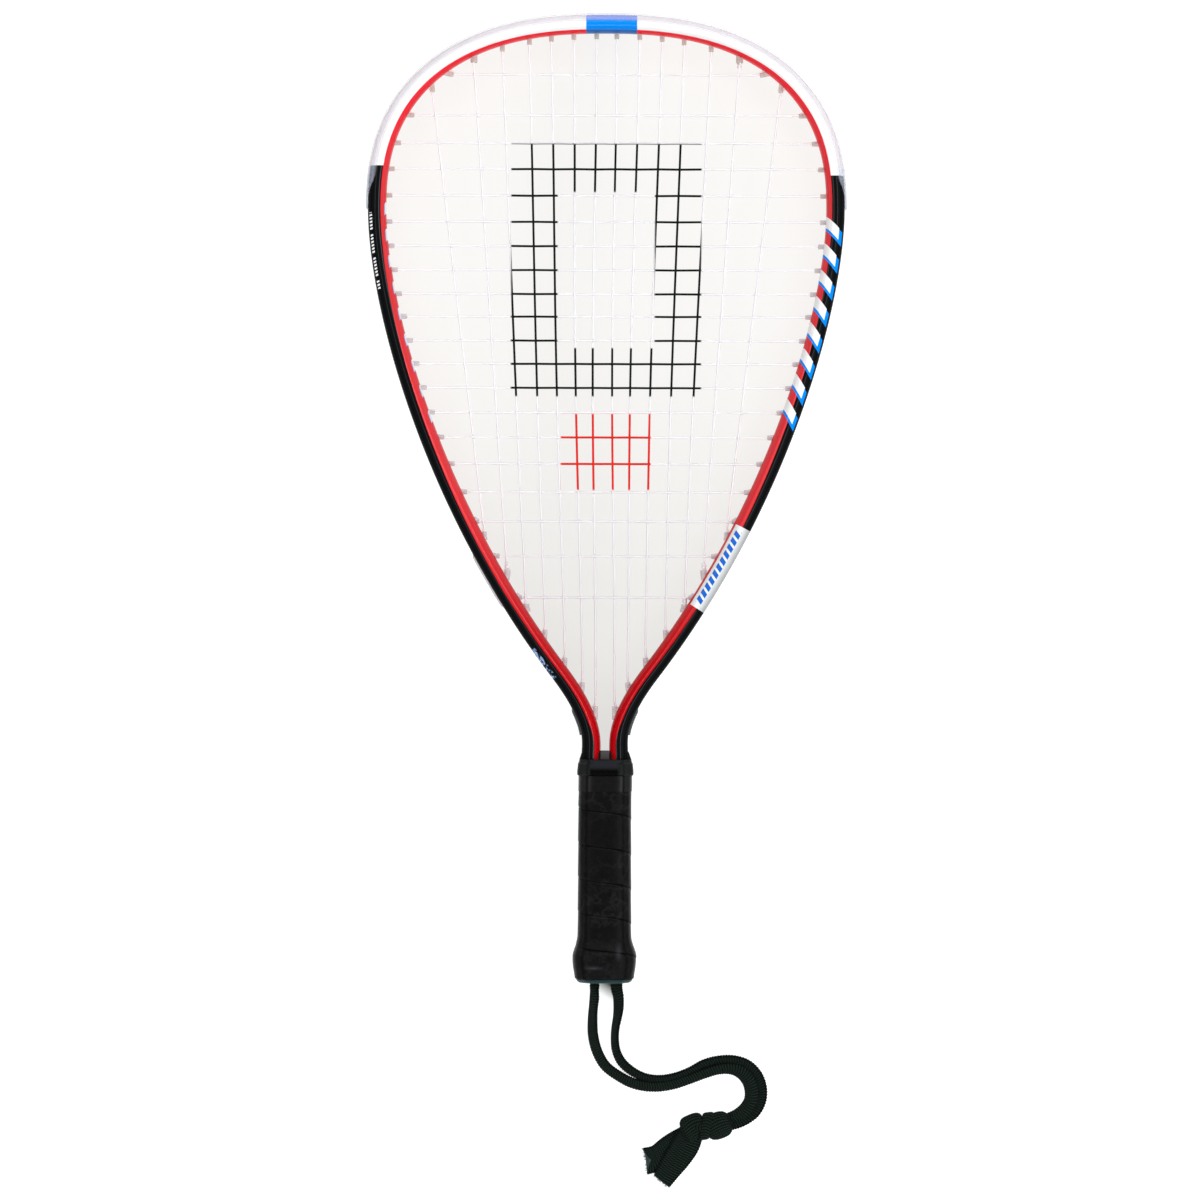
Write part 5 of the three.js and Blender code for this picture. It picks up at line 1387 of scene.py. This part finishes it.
def add_knot():
    parts = Parts()
    for lobe in LOBES:
        add_lobe(parts, *lobe)
    add_wrap(parts, (706, 1126), 5.2, 188, 6.5, 4.7, 6.2, 2.6, 2.2)
    add_wrap(parts, (703.5, 1127), 5.0, 236, 6.3, 4.6, 4.4, 2.4, -3.2)
    return parts.object("cord_knot_wraps", BRAID, "cord_knot", "wrist_cord")


def add_tail(name, route, lift, widths, curl, node, corner, notch=0.0):
    """A cut end of the lace, spread flat on the table, its end cut askew and set back in the middle by notch.
    """
    half = TAIL_THICKNESS / 2 + RIB_HEIGHT / 2
    points = [seen(*pixel, FLOOR + half + lift + z) for pixel, z in zip(route, curl)]
    path, shape, run = smooth_path(points, [(w, TAIL_THICKNESS) for w in widths])
    ahead, side, rise = level_frame(path)
    rings, marks = lace_rings(path, side, rise, shape[:, 0], shape[:, 1], run)
    along, across = marks["lace_run"], marks["lace_across"]
    shift = corner * across - notch * (1 - np.abs(across)) ** 2
    reach = np.clip((run - run[-1] + 7) / 7, 0, 1)[:, None] * shift
    rings = rings + reach[..., None] * ahead[:, None, :]
    ripple = 0.25 * np.sin(along * 0.55 + across * 3.0) * np.clip(run[:, None] / 8, 0, 1)
    rings[..., 2] = np.maximum(rings[..., 2] + ripple, FLOOR + 0.03)
    parts = Parts()
    parts.rings(rings, **marks, lace_cut=np.clip(along - run[-1] + 0.5, 0, 0.5))
    add_fray(parts, rings[-1], ahead[-1])
    return parts.object(name, BRAID, node, "wrist_cord")


def add_fray(parts, ring, ahead):
    """Loose fibre ends at a cut edge."""
    random.seed(FRAY_SEED)
    for _ in range(FRAY_COUNT):
        k = random.randrange(len(ring))
        start = mix(ring.mean(0), ring[k], random.uniform(0.3, 0.98))
        way = ahead + np.array([random.uniform(-0.5, 0.5) for _ in range(3)])
        way[2] = abs(way[2]) * 0.5
        length = random.uniform(0.4, 1.3)
        path = np.array([start - ahead * 0.5, start + way * length * 0.5, start + way * length])
        parts.rings(swept(path, FRAY_RADIUS, 5), lace_run=0.0, lace_across=0.0, lace_rib=0.9, lace_cut=1.0)


# Table, light and air

def add_sheet(name, outline, z, finish):
    mesh = bpy.data.meshes.new(name)
    mesh.from_pydata(world([(x, y, z) for x, y in outline]).tolist(), [], [list(range(len(outline)))])
    mesh.materials.append(finish)
    add_object(name, mesh)


def backdrop_white():
    """Lit from behind, so that only the closest shadows show; a painted shadow darkens it between the cord's
    strands below the butt.
    """
    s = Shader("backdrop_white")
    across, height = s.place()
    # Painted shadow on the table between the strands, under the butt
    slope = height + across * 0.7
    shade = s.between(across, -6.0, 7.0, 1.0) * (s.above(slope, -5.6, 4.6) - s.above(height, 8.0, 6.0))
    plain = s.color(s.noise(3, 2), (0.5, 0.5, 0.5), (0.52, 0.52, 0.52))
    s.set(base_color=s.color(shade, plain, (0.05, 0.06, 0.045)), roughness=0.9)
    s.set(specular_ior_level=0.0, emission_color=(0.98, 1, 0.99, 1))
    s.set(emission_strength=s.number(shade, 0.78, 0.05))
    return s.material


def backdrop_painted_shade():
    """The same backdrop inside the hoop, dimmer with painted shade: a little darker towards the handle, and
    in a band left of the middle.
    """
    s = Shader("backdrop_painted_shade")
    across, height = s.place()
    lit = s.fade(height + (s.noise(12, 3) - 0.5) * 30, 90, 420)
    shade_band = s.between(across, -36.0, -8.0, 28.0)
    s.set(base_color=(0.09, 0.09, 0.09, 1), roughness=0.9, specular_ior_level=0.0)
    s.set(emission_color=s.color(lit, (0.705, 0.705, 0.68), (0.86, 0.845, 0.825)))
    s.set(emission_strength=s.number(shade_band, 1.0, 0.955))
    return s.material


def add_backdrop():
    reach = 4000.0
    square = [(-reach, -reach), (reach, -reach), (reach, reach), (-reach, reach)]
    add_sheet("table", square, FLOOR, backdrop_white())
    hoop = LINE[LINE[:, 1] > 124][::12]
    # A sheet of painted shade under the hoop
    add_sheet("hoop_shade_sheet", hoop.tolist(), FLOOR + 0.04, backdrop_painted_shade())


def add_light():
    """A ring of soft light round the camera, stronger on the right; the rest of the room is dim."""
    scene = bpy.context.scene
    scene.view_settings.view_transform = "Standard"
    scene.world = bpy.data.worlds.new("studio")
    scene.world.use_nodes = True
    sky = Nodes(scene.world.node_tree)
    where = sky.node("TexCoord", {}, "Generated")
    levels = sky.node("ValToRGB", {0: sky.node("SeparateXYZ", {0: where}, 2)})
    stops = levels.socket.node.color_ramp.elements
    while len(stops) > 1:
        stops.remove(stops[0])
    brightest = max(level for _, level in SKY_LEVELS)
    for i, (position, level) in enumerate(SKY_LEVELS):
        stop = stops[0] if i == 0 else stops.new(position)
        stop.position = position
        share = level / brightest
        stop.color = (share * SKY_RED, share, share, 1)
    tilted = sky.node("SeparateXYZ", {0: where}, 0) * (SKY_TILT * brightest) + brightest
    background = sky.tree.nodes["Background"]
    sky.feed(background.inputs[0], levels)
    sky.feed(background.inputs[1], tilted)


def dress_cad_nodes():
    """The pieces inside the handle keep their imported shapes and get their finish."""
    for name, finish in (
        ("handle_half_front", FOAM),
        ("handle_half_back", FOAM),
        ("butt_staple_front", STEEL),
        ("butt_staple_back", STEEL),
        ("cord_anchor_loop", BRAID),
    ):
        node = frame["nodes"][name]
        node.data.materials.clear()
        node.data.materials.append(finish)


add_camera()
SIDE_BARS_RUN = run_at(438.0, 1)
WALL_BARS_RUN = run_at(446.0, -1)
SMALL_MARKS_RUN = (run_at(400.0, -1), run_at(443.5, -1))
WORN_MARKS_RUN = (run_at(178.0, -1), run_at(194.5, -1))
LABEL_RUN = (run_at(262.5, 1), run_at(216.0, 1))
BRAID = cord_braid()
add_knot()
add_tail(
    "tail_front", TAIL_FRONT_ROUTE, 1.9, (14, 16, 15.6, 13.6, 11.6), (2.6, 1.4, 0.5, 0.2, 0),
    "cord_tail_front", 0.5,
)
add_tail(
    "tail_back", TAIL_BACK_ROUTE, 0, (12, 16.5, 17.5, 15.6, 15.8), (0.8, 0.6, 0.4, 0.2, 0.6),
    "cord_tail_back", 0.4, 3.4,
)
strand(
    "cord_left", -1, LEFT_ROUTE, LEFT_HEIGHTS, LEFT_TURN_SHARES, LEFT_END_WIDTHS,
    "cord_strand_left",
)
strand(
    "cord_right", 1, RIGHT_ROUTE, RIGHT_HEIGHTS, RIGHT_TURN_SHARES, (),
    "cord_strand_right",
)

LACQUER = frame_lacquer()
BUMPER = bumper_plastic()
GROMMET = grommet_plastic()
STRING = string_plastic()
COLLAR = collar_rubber()
GRIP = grip_rubber()
YOKE = plain_finish(
    "yoke_plastic", (400, 4), (0.055, 0.049, 0.05), (0.075, 0.068, 0.07),
    (1200, 3), (0.5, 0.7), (1800, 4), (0.15, 0.08), specular_ior_level=0.2,
)
FILM = plain_finish(
    "finishing_film", (300, 3), (0.0018, 0.0018, 0.002), (0.0045, 0.0042, 0.0048),
    (500, 4), (0.26, 0.4), (220, 3), (0.25, 0.3), specular_ior_level=0.17,
)
CAP = plain_finish(
    "cap_plastic", (400, 3), (0.004, 0.022, 0.024), (0.007, 0.034, 0.036),
    (1200, 3), (0.38, 0.5), (2000, 3), (0.12, 0.05), specular_ior_level=0.3,
)
FOAM = plain_finish(
    "handle_foam", (700, 4), (0.02, 0.02, 0.02), (0.04, 0.04, 0.04),
    (900, 3), (0.8, 0.95), (1200,), (0.4, 0.1),
)
STEEL = plain_finish(
    "staple_steel", (800, 4), (0.5, 0.5, 0.5), (0.62, 0.62, 0.63),
    (1500, 3), (0.28, 0.42), (3000, 2), (0.1, 0.03), metallic=1.0,
)

TOPS, FEET, CROSSES = find_holes()
ALL_HOLES = [pair[side] for group in (TOPS, FEET, CROSSES) for pair in group for side in (-1, 1)]
add_frame()
add_bumper([hole for hole in ALL_HOLES if hole["tip"][1] > BUMPER_END])
for side in (-1, 1):
    add_strip(side, [h for h in ALL_HOLES if np.sign(h["tip"][0]) == side and h["tip"][1] < BUMPER_END])
add_strings(TOPS, FEET, CROSSES)
add_yoke()
add_collar()
add_band()
add_tape()
add_cap()
dress_cad_nodes()
add_backdrop()
add_light()
